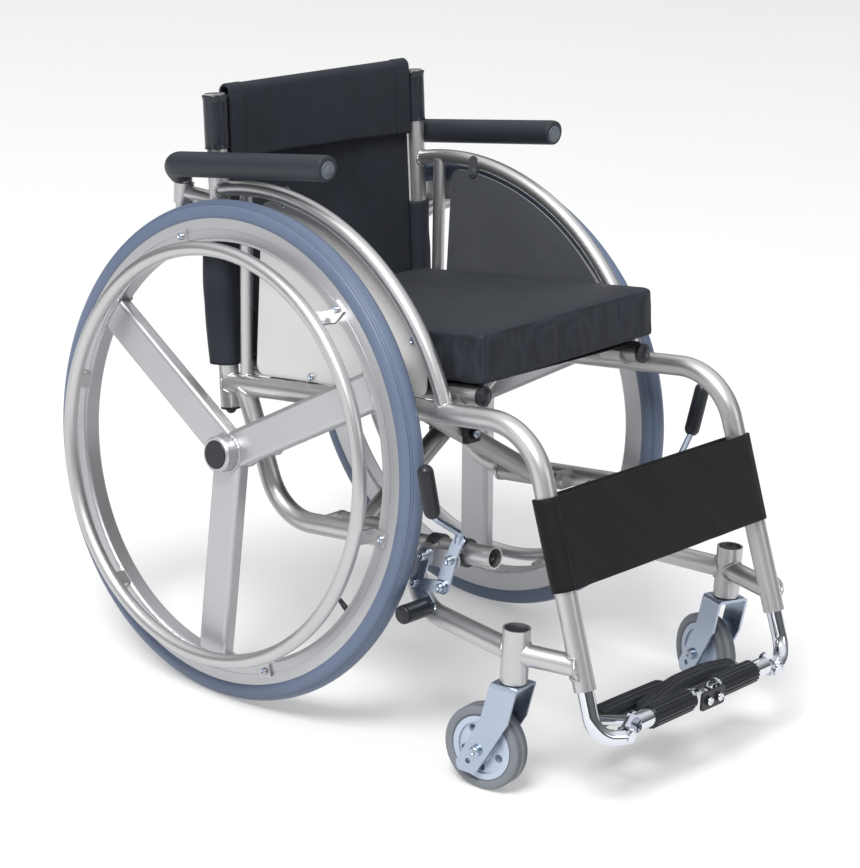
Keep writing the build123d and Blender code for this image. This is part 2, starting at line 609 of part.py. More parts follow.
bolt = ring_s(0, CENTRE_N, 161.0, 222.0, 5.0)
bolt = bolt + ring_s(0, CENTRE_N, 160.0, 163.5, 9.0)
bolt_block = Pos(0, -221.5, CENTRE_N) * Box(24.0, 9.0, 24.0)
hex_plane = Plane(origin=seat(0, 225.5, CENTRE_N), x_dir=(1, 0, 0), z_dir=(0, -1, 0))
bolt_block = bolt_block + extrude(hex_plane * RegularPolygon(7.5, 6), 5.0)
crossbar_a = cross_bar(BRACE_X, BAR_A_S)
crossbar_b = cross_bar(-BRACE_X, BAR_B_S)
pivot_bolt = bolt + bolt_block - crossbar_a
crossbar_a = crossbar_a - ring_s(0, CENTRE_N, 150.0, 240.0, 5.0)
pivot_bolt = bolt + (bolt_block - crossbar_a)
crossbar_b = crossbar_b - ring_s(0, CENTRE_N, 150.0, 240.0, 5.0 + RUN)
washer = ring_s(0, CENTRE_N, 190.1, 191.9, 9.0)
pivot_bolt = pivot_bolt + washer


def rail_caps(x):
    """Domed caps on both ends of a seat rail."""
    caps = None
    for s, out in ((RAIL_S[0], -1.0), (RAIL_S[1], 1.0)):
        head = ring_s(x, RAIL_N, s, s + out * 5.0, 12.0)
        dome = (Pos(seat(x, s - out * 10.0, RAIL_N)) * Sphere(18.0)) & ring_s(
            x, RAIL_N, s + out * 5.0, s + out * 12.0, 12.0
        )
        piece = head + dome + ring_s(x, RAIL_N, s - out * 10.0, s + out * 1.0, RAIL_R - 2.0)
        caps = piece if caps is None else caps + piece
    return caps


save("crossbar_a", SEAT_FRAME * crossbar_a)
save("crossbar_b", SEAT_FRAME * crossbar_b)
save("pivot_bolt", SEAT_FRAME * pivot_bolt)
save("rail_caps_a", SEAT_FRAME * rail_caps(-BRACE_X))
save("rail_caps_b", SEAT_FRAME * rail_caps(BRACE_X))

# ================================================================ soft parts
sling_low = RAIL_N + RAIL_R + GAP
sling_len = RAIL_S[1] - RAIL_S[0] - 4.0
sling = Pos(0, -sum(RAIL_S) / 2, sling_low + SLING_T / 2) * Box(
    2 * BRACE_X + 14.0, sling_len, SLING_T
)
save("seat_sling", SEAT_FRAME * sling)

cushion_low = sling_low + SLING_T
cushion_h = CUSHION_N[1] - cushion_low
cushion = Pos(0, -sum(CUSHION_S) / 2, cushion_low + cushion_h / 2) * Box(
    2 * CUSHION_HALF, CUSHION_S[1] - CUSHION_S[0], cushion_h
)
cushion = fillet(cushion.edges().filter_by(Axis.Z), 14.0)
cushion = fillet(cushion.edges().group_by(Axis.Z)[-1], 10.0)
cushion = fillet(cushion.edges().group_by(Axis.Z)[0], 6.0)
save("cushion", SEAT_FRAME * cushion)


def back_sheet(z0, z1, half, ahead, thick):
    """Flat sheet across the back, parallel to the canes; ahead is in front of them."""
    middle = (z0 + z1) / 2
    frame = Plane(origin=at(0, cane_d(middle), middle), x_dir=(1, 0, 0), z_dir=cane_dir)
    height = (z1 - z0) / math.cos(math.radians(LEAN))
    return frame * (Pos(0, -ahead, 0) * Box(2 * half, thick, height))


def cane_sleeve(x, z0, z1, radius, bore):
    """Fabric tube round a cane."""
    low = at(x, cane_d(z0), z0)
    high = at(x, cane_d(z1), z1)
    return bar(low, high, radius) - bar(low, high, bore)


back = back_sheet(392.0, 722.0, BACK_HALF, 0.0, 4.0)
for x in (-CANE_X, CANE_X):
    inward = -1.0 if x > 0 else 1.0
    for z0, z1 in ((392.0, 551.0), (656.0, 719.0)):
        back = back + cane_sleeve(x, z0, z1, 15.2, TUBE_R + GAP)
back = back - bar(at(CANE_X, *CANE_LOW), at(CANE_X, *CANE_TOP), TUBE_R + GAP)
back = back - bar(at(-CANE_X, *CANE_LOW), at(-CANE_X, *CANE_TOP), TUBE_R + GAP)
save("back_upholstery", back)

flap_top = 731.0
flap = back_sheet(640.0, flap_top, BACK_HALF - 0.5, 6.0, 5.0)
flap = flap + back_sheet(650.0, flap_top, BACK_HALF - 0.5, -6.0, 5.0)
flap = flap + back_sheet(724.0, flap_top, BACK_HALF - 0.5, 0.0, 16.0)
flap = flap - back
save("back_flap", flap)

strap_mid = sum(STRAP_Z) / 2
down_dir = at(*DOWN_END) - at(FRAME_X, *SEAT_CORNER)
strap_d = SEAT_CORNER[0] + (strap_mid - SEAT_CORNER[1]) / down_dir.Z * down_dir.Y
strap_x = 182.35
tilt = Plane(
    origin=at(0, strap_d, strap_mid),
    x_dir=(1, 0, 0),
    z_dir=Vector(0, down_dir.Y, down_dir.Z).normalized() * -1,
)
strap_len = (STRAP_Z[1] - STRAP_Z[0]) / math.cos(math.radians(20.0))
loop = SlotCenterToCenter(2 * strap_x, 2 * 16.2) - SlotCenterToCenter(2 * strap_x, 2 * 14.2)
strap = tilt * (Pos(0, 0, -strap_len / 2) * extrude(loop, strap_len))
save("calf_strap", strap)
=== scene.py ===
# %% [markdown]
# A folding wheelchair. Its tubes, wheels, forks and pivots come from the CAD frame and stay
# exactly where they are. This script gives them their finishes, and adds what solids can't
# show: the sewn cushion and back, the calf strap, weld beads, screws and moulded grips.

# %% Modules
import json
import math

import bmesh
import bpy
from mathutils import Matrix, Vector, noise


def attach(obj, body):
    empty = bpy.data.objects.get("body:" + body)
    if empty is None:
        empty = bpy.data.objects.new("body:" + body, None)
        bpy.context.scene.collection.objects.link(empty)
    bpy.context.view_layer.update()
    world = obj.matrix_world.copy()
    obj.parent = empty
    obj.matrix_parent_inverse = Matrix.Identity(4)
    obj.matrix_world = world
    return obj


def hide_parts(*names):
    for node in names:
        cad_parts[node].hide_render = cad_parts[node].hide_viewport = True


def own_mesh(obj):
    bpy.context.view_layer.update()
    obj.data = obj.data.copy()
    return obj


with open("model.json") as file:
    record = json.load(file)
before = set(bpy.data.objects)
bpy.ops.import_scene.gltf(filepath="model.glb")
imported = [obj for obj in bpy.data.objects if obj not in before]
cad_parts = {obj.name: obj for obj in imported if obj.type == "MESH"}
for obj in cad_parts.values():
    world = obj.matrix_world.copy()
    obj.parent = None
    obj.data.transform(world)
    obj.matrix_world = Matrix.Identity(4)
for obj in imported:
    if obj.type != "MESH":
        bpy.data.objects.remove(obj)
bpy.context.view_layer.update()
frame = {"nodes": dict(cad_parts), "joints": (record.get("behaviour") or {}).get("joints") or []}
nodes = frame["nodes"]
joints = {joint["name"]: joint for joint in frame["joints"]}
print("CAD nodes:", len(nodes))

# %% [markdown]
# Every length below is in millimetres from three planes: x from the middle of the chair,
# d behind the rear axle, and z above the floor. One helper turns such a point into metres.
# The seat has its own inclined frame, because the rails, sling and cushion all follow it.

# %% Points in the chair
MM = 0.001
AXLE = Vector(joints["left_wheel_spin"]["pos_m"])
FOLD_AXIS = Vector(joints["fold"]["axis"])
SEAT_SLOPE = math.atan2(-FOLD_AXIS.z, FOLD_AXIS.y)
SIDES = (("left", 1.0), ("right", -1.0))


def at(x, d, z):
    """Point in metres from millimetres, d being the distance behind the axle."""
    return Vector((x * MM, AXLE.y + d * MM, z * MM))


SEAT_MATRIX = Matrix.Translation((0, AXLE.y, 0)) @ Matrix.Rotation(-SEAT_SLOPE, 4, "X")


def on_seat(x, s, n):
    """Point in metres in the seat's frame: s forward along it, n up from it."""
    return SEAT_MATRIX @ Vector((x * MM, -s * MM, n * MM))


print("seat slope", round(math.degrees(SEAT_SLOPE), 2), "degrees")

# %% [markdown]
# ## Shader maths
# A material here is written as an expression. The class below wraps one socket, so that
# a * b + 1 adds the Math nodes it needs. A Finish holds the material and its shader, and
# has one method that adds any other kind of node.

# %% Sockets as numbers
class Signal:
    """One value in a node tree, which can be added, multiplied and compared."""

    def __init__(self, finish, socket):
        self.finish = finish
        self.socket = socket

    def calc(self, operation, first, second=None):
        values = {0: first} if second is None else {0: first, 1: second}
        return self.finish.node("ShaderNodeMath", {"operation": operation}, values)

    def __add__(self, other):
        return self.calc("ADD", self, other)

    def __radd__(self, other):
        return self.calc("ADD", other, self)

    def __sub__(self, other):
        return self.calc("SUBTRACT", self, other)

    def __rsub__(self, other):
        return self.calc("SUBTRACT", other, self)

    def __mul__(self, other):
        return self.calc("MULTIPLY", self, other)

    def __rmul__(self, other):
        return self.calc("MULTIPLY", other, self)

    def __truediv__(self, other):
        return self.calc("DIVIDE", self, other)

    def sine(self):
        return self.calc("SINE", self)

    def absolute(self):
        return self.calc("ABSOLUTE", self)

    def above(self, level):
        return self.calc("GREATER_THAN", self, level)


class Finish:
    """A material, its node tree and the shader at the end of it."""

    def __init__(self, name, **settings):
        self.material = bpy.data.materials.new(name)
        self.material.use_nodes = True
        self.tree = self.material.node_tree
        self.shader = self.tree.nodes["Principled BSDF"]
        for socket, value in settings.items():
            self.shader.inputs[socket.replace("_", " ")].default_value = value

    def node(self, kind, settings=None, sockets=None, output=0):
        """Add a node: its settings first, then the values or links of its sockets."""
        node = self.tree.nodes.new(kind)
        for key, value in (settings or {}).items():
            if key == "stops":
                ramp = node.color_ramp
                for i, (place, colour) in enumerate(value):
                    stop = ramp.elements[i] if i < 2 else ramp.elements.new(place)
                    stop.position = place
                    stop.color = (*colour, 1.0)
            else:
                setattr(node, key, value)
        for key, value in (sockets or {}).items():
            self.feed(node.inputs[key], value)
        return Signal(self, node.outputs[output])

    def feed(self, socket, value):
        """Link a signal to a socket, or set the socket's own value."""
        if isinstance(value, Signal):
            self.tree.links.new(value.socket, socket)
        else:
            socket.default_value = value

    def set(self, **sockets):
        """Feed the shader's own sockets."""
        for name, value in sockets.items():
            self.feed(self.shader.inputs[name.replace("_", " ")], value)
        return self

    def place(self):
        """The Object coordinates, which every pattern is drawn on."""
        coordinates = self.node("ShaderNodeTexCoord")
        coordinates.socket = coordinates.socket.node.outputs["Object"]
        return coordinates

    def axes(self, vector):
        """The three parts of a vector."""
        split = self.node("ShaderNodeSeparateXYZ", {}, {"Vector": vector})
        outputs = split.socket.node.outputs
        return [Signal(self, outputs[i]) for i in range(3)]

    def grain(self, scale, detail=3.0, vector=None):
        """Fractal noise from 0 to 1; scale is in cells per metre."""
        sockets = {"Scale": scale, "Detail": detail}
        sockets["Vector"] = self.place() if vector is None else vector
        return self.node("ShaderNodeTexNoise", {}, sockets)

    def blend(self, amount, low, high):
        """Colour mix from low to high."""
        node = self.tree.nodes.new("ShaderNodeMix")
        node.data_type = "RGBA"
        self.feed(node.inputs["Factor"], amount)
        for name, colour in (("A", low), ("B", high)):
            socket = [i for i in node.inputs if i.name == name and i.type == "RGBA"][0]
            self.feed(socket, colour if isinstance(colour, Signal) else (*colour, 1.0))
        result = [o for o in node.outputs if o.type == "RGBA"][0]
        return Signal(self, result)

    def bump(self, height, strength, distance=0.001):
        """A bump that feeds the shader's normal."""
        sockets = {"Height": height, "Strength": strength, "Distance": distance}
        return self.node("ShaderNodeBump", {}, sockets)


# %% [markdown]
# ## Metals
# The frame wears a warm satin silver paint. Fine metallic paint sparkles a little and has a
# faint orange peel, so a small noise moves its roughness, and a finer one its bump. The same
# recipe, with other numbers, makes the wheels, the bright zinc, the chrome and the cross
# brace, whose silver is darkened as painted shade for its place under the seat. The side panels
# are brushed, and their inner faces are darkened with a painted reflection of the black
# upholstery, so their finish tells the two faces apart by their distance from the middle of
# the chair, in metres.

# %% Paint and plating
def metal(name, colour, dark, rough, metallic, peel=0.05, coat=0.0):
    """Painted or plated metal with a faint peel and slightly uneven gloss."""
    finish = Finish(name, Metallic=metallic, Coat_Weight=coat, Coat_Roughness=0.25)
    cloud = finish.grain(9.0, 2.0)
    fine = finish.grain(900.0, 2.0)
    tone = finish.blend(cloud * 0.55 + fine * 0.35, dark, colour)
    finish.set(Base_Color=tone, Roughness=rough + (fine - 0.5) * 0.10 + (cloud - 0.5) * 0.06)
    return finish.set(Normal=finish.bump(fine, peel, 0.0004)).material


silver = metal("satin_silver", (0.62, 0.615, 0.62), (0.45, 0.45, 0.462), 0.36, 0.92)
pale_silver = metal("wheel_silver", (0.55, 0.55, 0.565), (0.42, 0.425, 0.445), 0.38, 0.80)
zinc = metal("bright_zinc", (0.52, 0.58, 0.69), (0.35, 0.41, 0.51), 0.25, 0.96, 0.08)
chrome = metal("chrome", (0.76, 0.78, 0.83), (0.66, 0.68, 0.73), 0.06, 1.0, 0.01)
# The cross brace is the same satin silver, made darker as painted shade for its place under the
# black seat.
brace_with_painted_shade = metal("brace_silver", (0.47, 0.465, 0.46), (0.34, 0.335, 0.335), 0.36, 0.88)
PANEL_MIDDLE = 0.1722


def brushed_panel(name, outside, painted_reflection_inside):
    """Brushed sheet, bright outside; the face toward the sitter is darkened as a painted
    reflection of the black upholstery.
    """
    finish = Finish(name, Metallic=0.7)
    stretched = finish.node(
        "ShaderNodeMapping", {}, {"Vector": finish.place(), "Scale": (1.0, 0.03, 1.0)}
    )
    lines = finish.grain(1500.0, 3.0, stretched)
    cloud = finish.grain(6.0, 2.0)
    across = finish.axes(finish.place())[0].absolute()
    streaks = lines * 0.5 + cloud * 0.5
    # Faces nearer the middle than PANEL_MIDDLE take the inner tones, a painted reflection of the
    # black upholstery.
    tone = finish.blend(
        across.above(PANEL_MIDDLE),
        finish.blend(streaks, *painted_reflection_inside),
        finish.blend(streaks, *outside),
    )
    finish.set(Base_Color=tone, Roughness=0.34 + lines * 0.16)
    return finish.set(Normal=finish.bump(lines, 0.10, 0.0004)).material


# The second pair of tones is the painted reflection of the black upholstery on the inner face.
panel_metal = brushed_panel(
    "brushed_panel", ((0.58, 0.57, 0.57), (0.80, 0.785, 0.78)),
    ((0.085, 0.092, 0.106), (0.27, 0.285, 0.31)),
)
print("metals ready")

# %% [markdown]
# ## Rubber and plastic
# The rear tyres are solid blue-grey rubber and the caster tyres a paler grey, both with
# moulded grooves beside the tread, darkened with painted shade in their recesses. The grooves
# follow the tyre, so each tyre measures its own distance across from its wheel's plane, and
# draws the grooves inside a band of it.

# %% Tyres, foam and plastic
def rubber(name, colour, lighter, rough, scale=500.0, strength=0.12):
    """Moulded rubber or foam with a dusty bloom on it."""
    finish = Finish(name, Specular_IOR_Level=0.35)
    cloud = finish.grain(14.0, 3.0)
    fine = finish.grain(scale, 3.0)
    tone = finish.blend(cloud * 0.6 + fine * 0.3, colour, lighter)
    finish.set(Base_Color=tone, Roughness=rough + (fine - 0.5) * 0.12)
    return finish.set(Normal=finish.bump(fine, strength, 0.0005)).material


# Painted shade: the dark blue that the groove recesses are coloured with.
GROOVE_SHADE_BLUE = (0.020, 0.027, 0.042)


def wheel_axes(side, joint="_wheel_spin"):
    """Hub and axis of a wheel."""
    spin = joints[side + joint]
    return Vector(spin["pos_m"]), Vector(spin["axis"]).normalized()


def tyre_rubber(name, side, joint, colours, band, pitch):
    """Tyre with grooves moulded on both sides of the tread; band and pitch in metres."""
    hub, axis = wheel_axes(side, joint)
    finish = Finish(name, Specular_IOR_Level=0.4)
    offset = finish.node(
        "ShaderNodeVectorMath", {"operation": "SUBTRACT"}, {0: finish.place(), 1: hub}
    )
    dot = finish.node("ShaderNodeVectorMath", {"operation": "DOT_PRODUCT"}, {0: offset, 1: axis})
    dot.socket = dot.socket.node.outputs["Value"]
    across = dot.absolute()
    rings = (across * (2 * math.pi / pitch)).sine()
    rings = rings * across.above(band[0]) * (band[1] - across).above(0.0)
    grooves = rings.above(0.6) * 0.65
    cloud = finish.grain(11.0, 3.0)
    fine = finish.grain(420.0, 2.0)
    tone = finish.blend(cloud * 0.6 + fine * 0.25, *colours)
    # The grooves are darkened with painted shade.
    tone = finish.blend(grooves, tone, GROOVE_SHADE_BLUE)
    finish.set(Base_Color=tone, Roughness=0.40 + (fine - 0.5) * 0.15)
    return finish.set(Normal=finish.bump(rings * 0.5 + fine * 0.2, 0.5, 0.0006)).material


BLUE = ((0.078, 0.104, 0.165), (0.128, 0.166, 0.246))
GREY = ((0.120, 0.135, 0.150), (0.20, 0.22, 0.24))
REAR_BAND, REAR_PITCH = (0.0085, 0.0130), 0.00185
CASTER_BAND, CASTER_PITCH = (0.0030, 0.0105), 0.0025
tyres = {}
for side, _ in SIDES:
    tyres[side + "_tyre"] = tyre_rubber(
        side + "_tyre_rubber", side, "_wheel_spin", BLUE, REAR_BAND, REAR_PITCH
    )
    tyres[side + "_caster_tyre"] = tyre_rubber(
        side + "_caster_rubber", side, "_caster_spin", GREY, CASTER_BAND, CASTER_PITCH
    )
foam = rubber("armrest_foam", (0.012, 0.015, 0.021), (0.026, 0.031, 0.041), 0.50, 900.0, 0.25)
black_plastic = rubber("black_plastic", (0.010, 0.011, 0.014), (0.022, 0.024, 0.029), 0.32, 260.0)
grip_rubber = rubber("grip_rubber", (0.006, 0.007, 0.010), (0.020, 0.023, 0.030), 0.36, 300.0)
button_rubber = rubber("button_rubber", (0.075, 0.088, 0.110), (0.13, 0.15, 0.18), 0.35, 300.0)
hub_plastic = metal("caster_hub", (0.52, 0.58, 0.69), (0.38, 0.44, 0.55), 0.38, 0.45)

# %% [markdown]
# ## Cloth
# The upholstery is a tight black nylon with a slight blue sheen. A weave is two sets of
# threads, so two sine waves at right angles, each lifted where the other dips, give its
# height. The cushion's top has a coarser mesh of small diamonds.

# %% Woven nylon
THREAD = 0.0011
DIAMOND = 0.0052


def weave(u, v, pitch):
    """Height of a plain weave, from 0 to 1."""
    warp = (u * (2 * math.pi / pitch)).sine()
    weft = (v * (2 * math.pi / pitch)).sine()
    return (warp * weft) * 0.5 + 0.5


def nylon(name, colour, lighter):
    """Plain woven cloth on the piece's own coordinates."""
    finish = Finish(name, Sheen_Weight=0.05, Sheen_Roughness=0.4, Specular_IOR_Level=0.2)
    x, y, z = finish.axes(finish.place())
    threads = weave(x, y + z, THREAD)
    cloud = finish.grain(16.0, 4.0)
    fuzz = finish.grain(1400.0, 2.0)
    tone = finish.blend(cloud * 0.5 + threads * 0.35 + fuzz * 0.15, colour, lighter)
    finish.set(Base_Color=tone, Roughness=0.62 + (cloud - 0.5) * 0.16)
    height = threads + fuzz * 0.4
    return finish.set(Normal=finish.bump(height, 0.35, 0.0005)).material


back_cloth = nylon("back_nylon", (0.0060, 0.0070, 0.0105), (0.031, 0.036, 0.050))
strap_cloth = nylon("strap_nylon", (0.0010, 0.0011, 0.0014), (0.0062, 0.0066, 0.0078))
band_cloth = nylon("hem_nylon", (0.0060, 0.0070, 0.0105), (0.029, 0.034, 0.047))
sling_cloth = nylon("sling_nylon", (0.006, 0.0065, 0.008), (0.012, 0.013, 0.016))


def cushion_cloth(name):
    """Mesh cloth: diamonds on the top, plain weave on the sides."""
    finish = Finish(name, Sheen_Weight=0.06, Sheen_Roughness=0.35, Specular_IOR_Level=0.22)
    sloped = finish.node(
        "ShaderNodeMapping", {}, {"Vector": finish.place(), "Rotation": (SEAT_SLOPE, 0.0, 0.0)}
    )
    x, y, z = finish.axes(sloped)
    diamonds = weave(x + y, x - y, DIAMOND)
    plain = weave(x, z, THREAD * 1.2)
    cloud = finish.grain(13.0, 4.0)
    height = diamonds * 0.8 + plain * 0.5
    shade = cloud * 0.35 + diamonds * 0.5
    tone = finish.blend(shade, (0.0045, 0.0053, 0.0078), (0.033, 0.038, 0.051))
    finish.set(Base_Color=tone, Roughness=0.55 + diamonds * 0.15)
    return finish.set(Normal=finish.bump(height, 0.4, 0.0006)).material


mesh_cloth = cushion_cloth("cushion_mesh")
vinyl = rubber("cane_vinyl", (0.012, 0.014, 0.020), (0.024, 0.028, 0.038), 0.22, 60.0, 0.25)
print("rubber, plastic and cloth ready")

# %% [markdown]
# ## Finishes on the frame
# Each CAD node takes one finish, chosen by its name without the side. Only the tyres have
# a finish for each side, because their grooves are measured from their own wheel.

# %% Dress the CAD nodes
FINISHES = {
    "back_cane": silver, "seat_tube": silver, "lower_rail": silver, "guard_hoop": silver,
    "brackets": silver, "armrest_tube": silver, "side_panel": panel_metal,
    "frame_plugs": black_plastic, "armrest_pad": foam, "brake_lever": zinc,
    "brake_arm": zinc, "brake_link": zinc, "brake_grip": grip_rubber,
    "brake_roller": grip_rubber, "wheel": pale_silver, "handrim": silver,
    "axle_cap": black_plastic, "caster_fork": zinc, "caster_wheel": hub_plastic,
    "hanger_tube": chrome, "foot_frame": chrome, "foot_grip": grip_rubber,
    "crossbar_a": brace_with_painted_shade, "crossbar_b": brace_with_painted_shade,
    "rail_caps_a": black_plastic, "rail_caps_b": black_plastic, "pivot_bolt": black_plastic,
    "foot_link": black_plastic, "seat_sling": sling_cloth, "cushion": mesh_cloth,
    "back_upholstery": back_cloth, "back_flap": back_cloth, "calf_strap": strap_cloth,
}


def dress(node, material):
    """Give a whole CAD node one material."""
    node.data.materials.clear()
    node.data.materials.append(material)


for name, node in nodes.items():
    side, _, rest = name.partition("_")
    part = rest if side in ("left", "right") else name
    dress(node, tyres[name] if name in tyres else FINISHES[part])
print("dressed", len(nodes), "nodes")

# %% [markdown]
# ## Building and placing pieces
# Every added piece starts as a bmesh, and one function turns it into an object, gives it a
# material, and lets it ride on the right CAD body. A round wire or tube along a line is a
# curve made into a mesh, because a curve keeps an even section round any bend.

# %% Make a piece
def piece(name, bm, material, body, smooth=True):
    """Turn a bmesh into a finished piece that rides on a body."""
    mesh = bpy.data.meshes.new(name)
    bm.to_mesh(mesh)
    bm.free()
    mesh.materials.append(material)
    mesh.shade_smooth() if smooth else mesh.shade_flat()
    made = bpy.data.objects.new(name, mesh)
    bpy.context.scene.collection.objects.link(made)
    if body:
        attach(made, body)
    return made


def tube_mesh(points, radius, swell=None, closed=False, sides=12):
    """Bmesh of a round tube through points; swell gives each point's own thickness."""
    curve = bpy.data.curves.new("line", "CURVE")
    curve.dimensions = "3D"
    curve.bevel_depth = radius
    curve.bevel_resolution = max(1, sides // 4 - 1)
    curve.use_fill_caps = not closed
    spline = curve.splines.new("POLY")
    spline.points.add(len(points) - 1)
    for i, point in enumerate(points):
        spline.points[i].co = (*point, 1.0)
        spline.points[i].radius = swell[i] if swell else 1.0
    spline.use_cyclic_u = closed
    holder = bpy.data.objects.new("line", curve)
    bpy.context.scene.collection.objects.link(holder)
    mesh = holder.to_mesh()
    bm = bmesh.new()
    bm.from_mesh(mesh)
    holder.to_mesh_clear()
    bpy.data.objects.remove(holder)
    bpy.data.curves.remove(curve)
    bmesh.ops.remove_doubles(bm, verts=bm.verts, dist=1e-6)
    bmesh.ops.recalc_face_normals(bm, faces=bm.faces)
    return bm


def merged(parts):
    """One bmesh from several."""
    whole = bmesh.new()
    for part in parts:
        mesh = bpy.data.meshes.new("part")
        part.to_mesh(mesh)
        part.free()
        whole.from_mesh(mesh)
        bpy.data.meshes.remove(mesh)
    return whole


# %% [markdown]
# ## Weld beads
# The frame is welded wherever one tube meets another, and the beads catch the light. A bead
# follows the curve where the two cylinders cross. For each angle round the first tube, the
# point on it that is also on the second is the root of a quadratic. The bead is a row of
# overlapping ripples, so its thickness rises and falls along the line.

# %% Follow the joint of two tubes
BEAD = 2.3 * MM
RIPPLE = 3.0 * MM
LUMPS = 260.0


def joint_line(start, toward, radius, other, other_axis, other_radius, steps=72):
    """Curve on the first tube where it runs into the second one."""
    toward = toward.normalized()
    other_axis = other_axis.normalized()
    side = toward.orthogonal().normalized()
    up = toward.cross(side)
    line = []
    for i in range(steps):
        turn = 2 * math.pi * i / steps
        rim = start + side * (math.cos(turn) * radius) + up * (math.sin(turn) * radius)
        across = (rim - other) - other_axis * (rim - other).dot(other_axis)
        slide = toward - other_axis * toward.dot(other_axis)
        a = slide.dot(slide)
        b = 2 * across.dot(slide)
        c = across.dot(across) - other_radius ** 2
        root = max(b * b - 4 * a * c, 0.0)
        line.append(rim + toward * ((-b - math.sqrt(root)) / (2 * a)))
    return line


def bead(line, closed=True, thick=BEAD):
    """Lumpy welding bead along a line."""
    length = sum((line[i] - line[i - 1]).length for i in range(1, len(line)))
    waves = max(6, round(length / RIPPLE))
    swell = []
    for i, point in enumerate(line):
        wave = abs(math.sin(math.pi * waves * i / len(line)))
        swell.append(0.72 + 0.30 * wave + 0.25 * noise.noise(point * LUMPS))
    return tube_mesh(line, thick, swell, closed, 8)


# %% Where the tubes meet
TUBE_R = 12.7
GUARD_R = 9.5
POST_R = 8.0
BARREL_R = 16.0
FRAME_X = 180.0
HOOP = 314.0
HOOP_Z = 304.4
RAIL_TURN = (-419.0, 427.8)
CANE = (at(178, 57.0, 340.0), at(178, 100.5, 722.0))
BARREL = at(206.4, -436.7, 172.0)
LINK_END = at(184.8, -512.0, 172.0)
RAIL_END = at(182.0, -278.0, 172.0)
BRACE_TOP = at(180.0, -247.0, 245.3)


def seat_tube_z(d):
    """Height of the seat tube's centre line."""
    return RAIL_TURN[1] - (d - RAIL_TURN[0]) * math.tan(SEAT_SLOPE)


def hoop_point(degrees):
    """Point on the wheel guard's centre line."""
    turn = math.radians(degrees)
    return at(FRAME_X, HOOP * math.cos(turn), HOOP_Z + HOOP * math.sin(turn))


UP = Vector((0, 0, 1))
SEAT_AXIS = Vector((0, -math.cos(SEAT_SLOPE), math.sin(SEAT_SLOPE)))
CANE_AXIS = CANE[1] - CANE[0]
SEAT_ON = at(FRAME_X, 0, seat_tube_z(0))
KNEE = at(FRAME_X, *RAIL_TURN)
DOWN_AXIS = at(185.3, -521.3, 147.0) - KNEE
POST_AXIS = at(176, 32.5, 378) - at(176, 43.2, 613)
BRACE_AXIS = at(180, 31.7, 372.4) - at(180, -39.5, 219.7)

# %% [markdown]
# Each weld is listed as a point on the first tube, its direction and radius, and then a
# point, an axis and a radius for the tube that it runs into.

# %% Weld the frames
WELDS = (
    (SEAT_ON, -SEAT_AXIS, TUBE_R, CANE[0], CANE_AXIS, TUBE_R),
    (hoop_point(80), hoop_point(74) - hoop_point(76), GUARD_R, CANE[0], CANE_AXIS, TUBE_R),
    (hoop_point(154), hoop_point(160) - hoop_point(158), GUARD_R, SEAT_ON, SEAT_AXIS, TUBE_R),
    (at(176, 38, 500), POST_AXIS, POST_R, SEAT_ON, SEAT_AXIS, TUBE_R),
    (at(180, 10, 326), BRACE_AXIS, TUBE_R, SEAT_ON, SEAT_AXIS, TUBE_R),
    (at(206.4, -460, 172), LINK_END - BARREL, TUBE_R, KNEE, DOWN_AXIS, TUBE_R),
    (at(186, -500, 172), BARREL - LINK_END, TUBE_R, BARREL, UP, BARREL_R),
    (at(195, -370, 172), BARREL - RAIL_END, TUBE_R, BARREL, UP, BARREL_R),
    (at(181, -260, 205), BRACE_TOP - RAIL_END, TUBE_R, BRACE_TOP, SEAT_AXIS, TUBE_R),
)


def mirror_point(point, side):
    """The same point or direction on the chosen side."""
    return Vector((point.x * side, point.y, point.z))


def weld(side, start, toward, radius, other, other_axis, other_radius):
    """Bead where one tube meets another, on either side of the chair."""
    return bead(joint_line(
        mirror_point(start, side), mirror_point(toward, side), radius * MM,
        mirror_point(other, side), mirror_point(other_axis, side), other_radius * MM,
    ))


for name, side in SIDES:
    beads = [weld(side, *joint) for joint in WELDS]
    piece(name + "_weld_beads", merged(beads), silver, name + "_frame")
print(len(WELDS), "weld beads on each frame")

# %% [markdown]
# ## Rear wheels
# Three box spokes are welded to the hub and to the rim, again with a rippled bead: one runs
# round the outside of the hub, and one lies across each end of a spoke, on both its faces. A
# short valve stands on the inside of the rim between two spokes.

# %% Wheel details
SPOKES = (30.0, 150.0, 270.0)
SPOKE_HALF = 24.0
SPOKE_FACE = 10.4
SPOKE_BEAD = 2.0 * MM
RIM_INSIDE = 255.5
HUB_BEAD_R = 23.0
VALVE_ANGLE = -146.0
VALVE_R = 3.4 * MM


def wheel_matrix(side):
    """Frame of a wheel: local x to the rear, y up, z outward."""
    hub, axis = wheel_axes(side)
    rear = Vector((0, 1, 0))
    up = axis.cross(rear) if side == "left" else rear.cross(axis)
    return Matrix.Translation(hub) @ Matrix((rear, up, axis)).transposed().to_4x4()


def polar(matrix, radius, degrees, out):
    """Point on a wheel from its radius, angle and distance outward, in millimetres."""
    turn = math.radians(degrees)
    local = Vector((radius * math.cos(turn), radius * math.sin(turn), out))
    return matrix @ (local * MM)


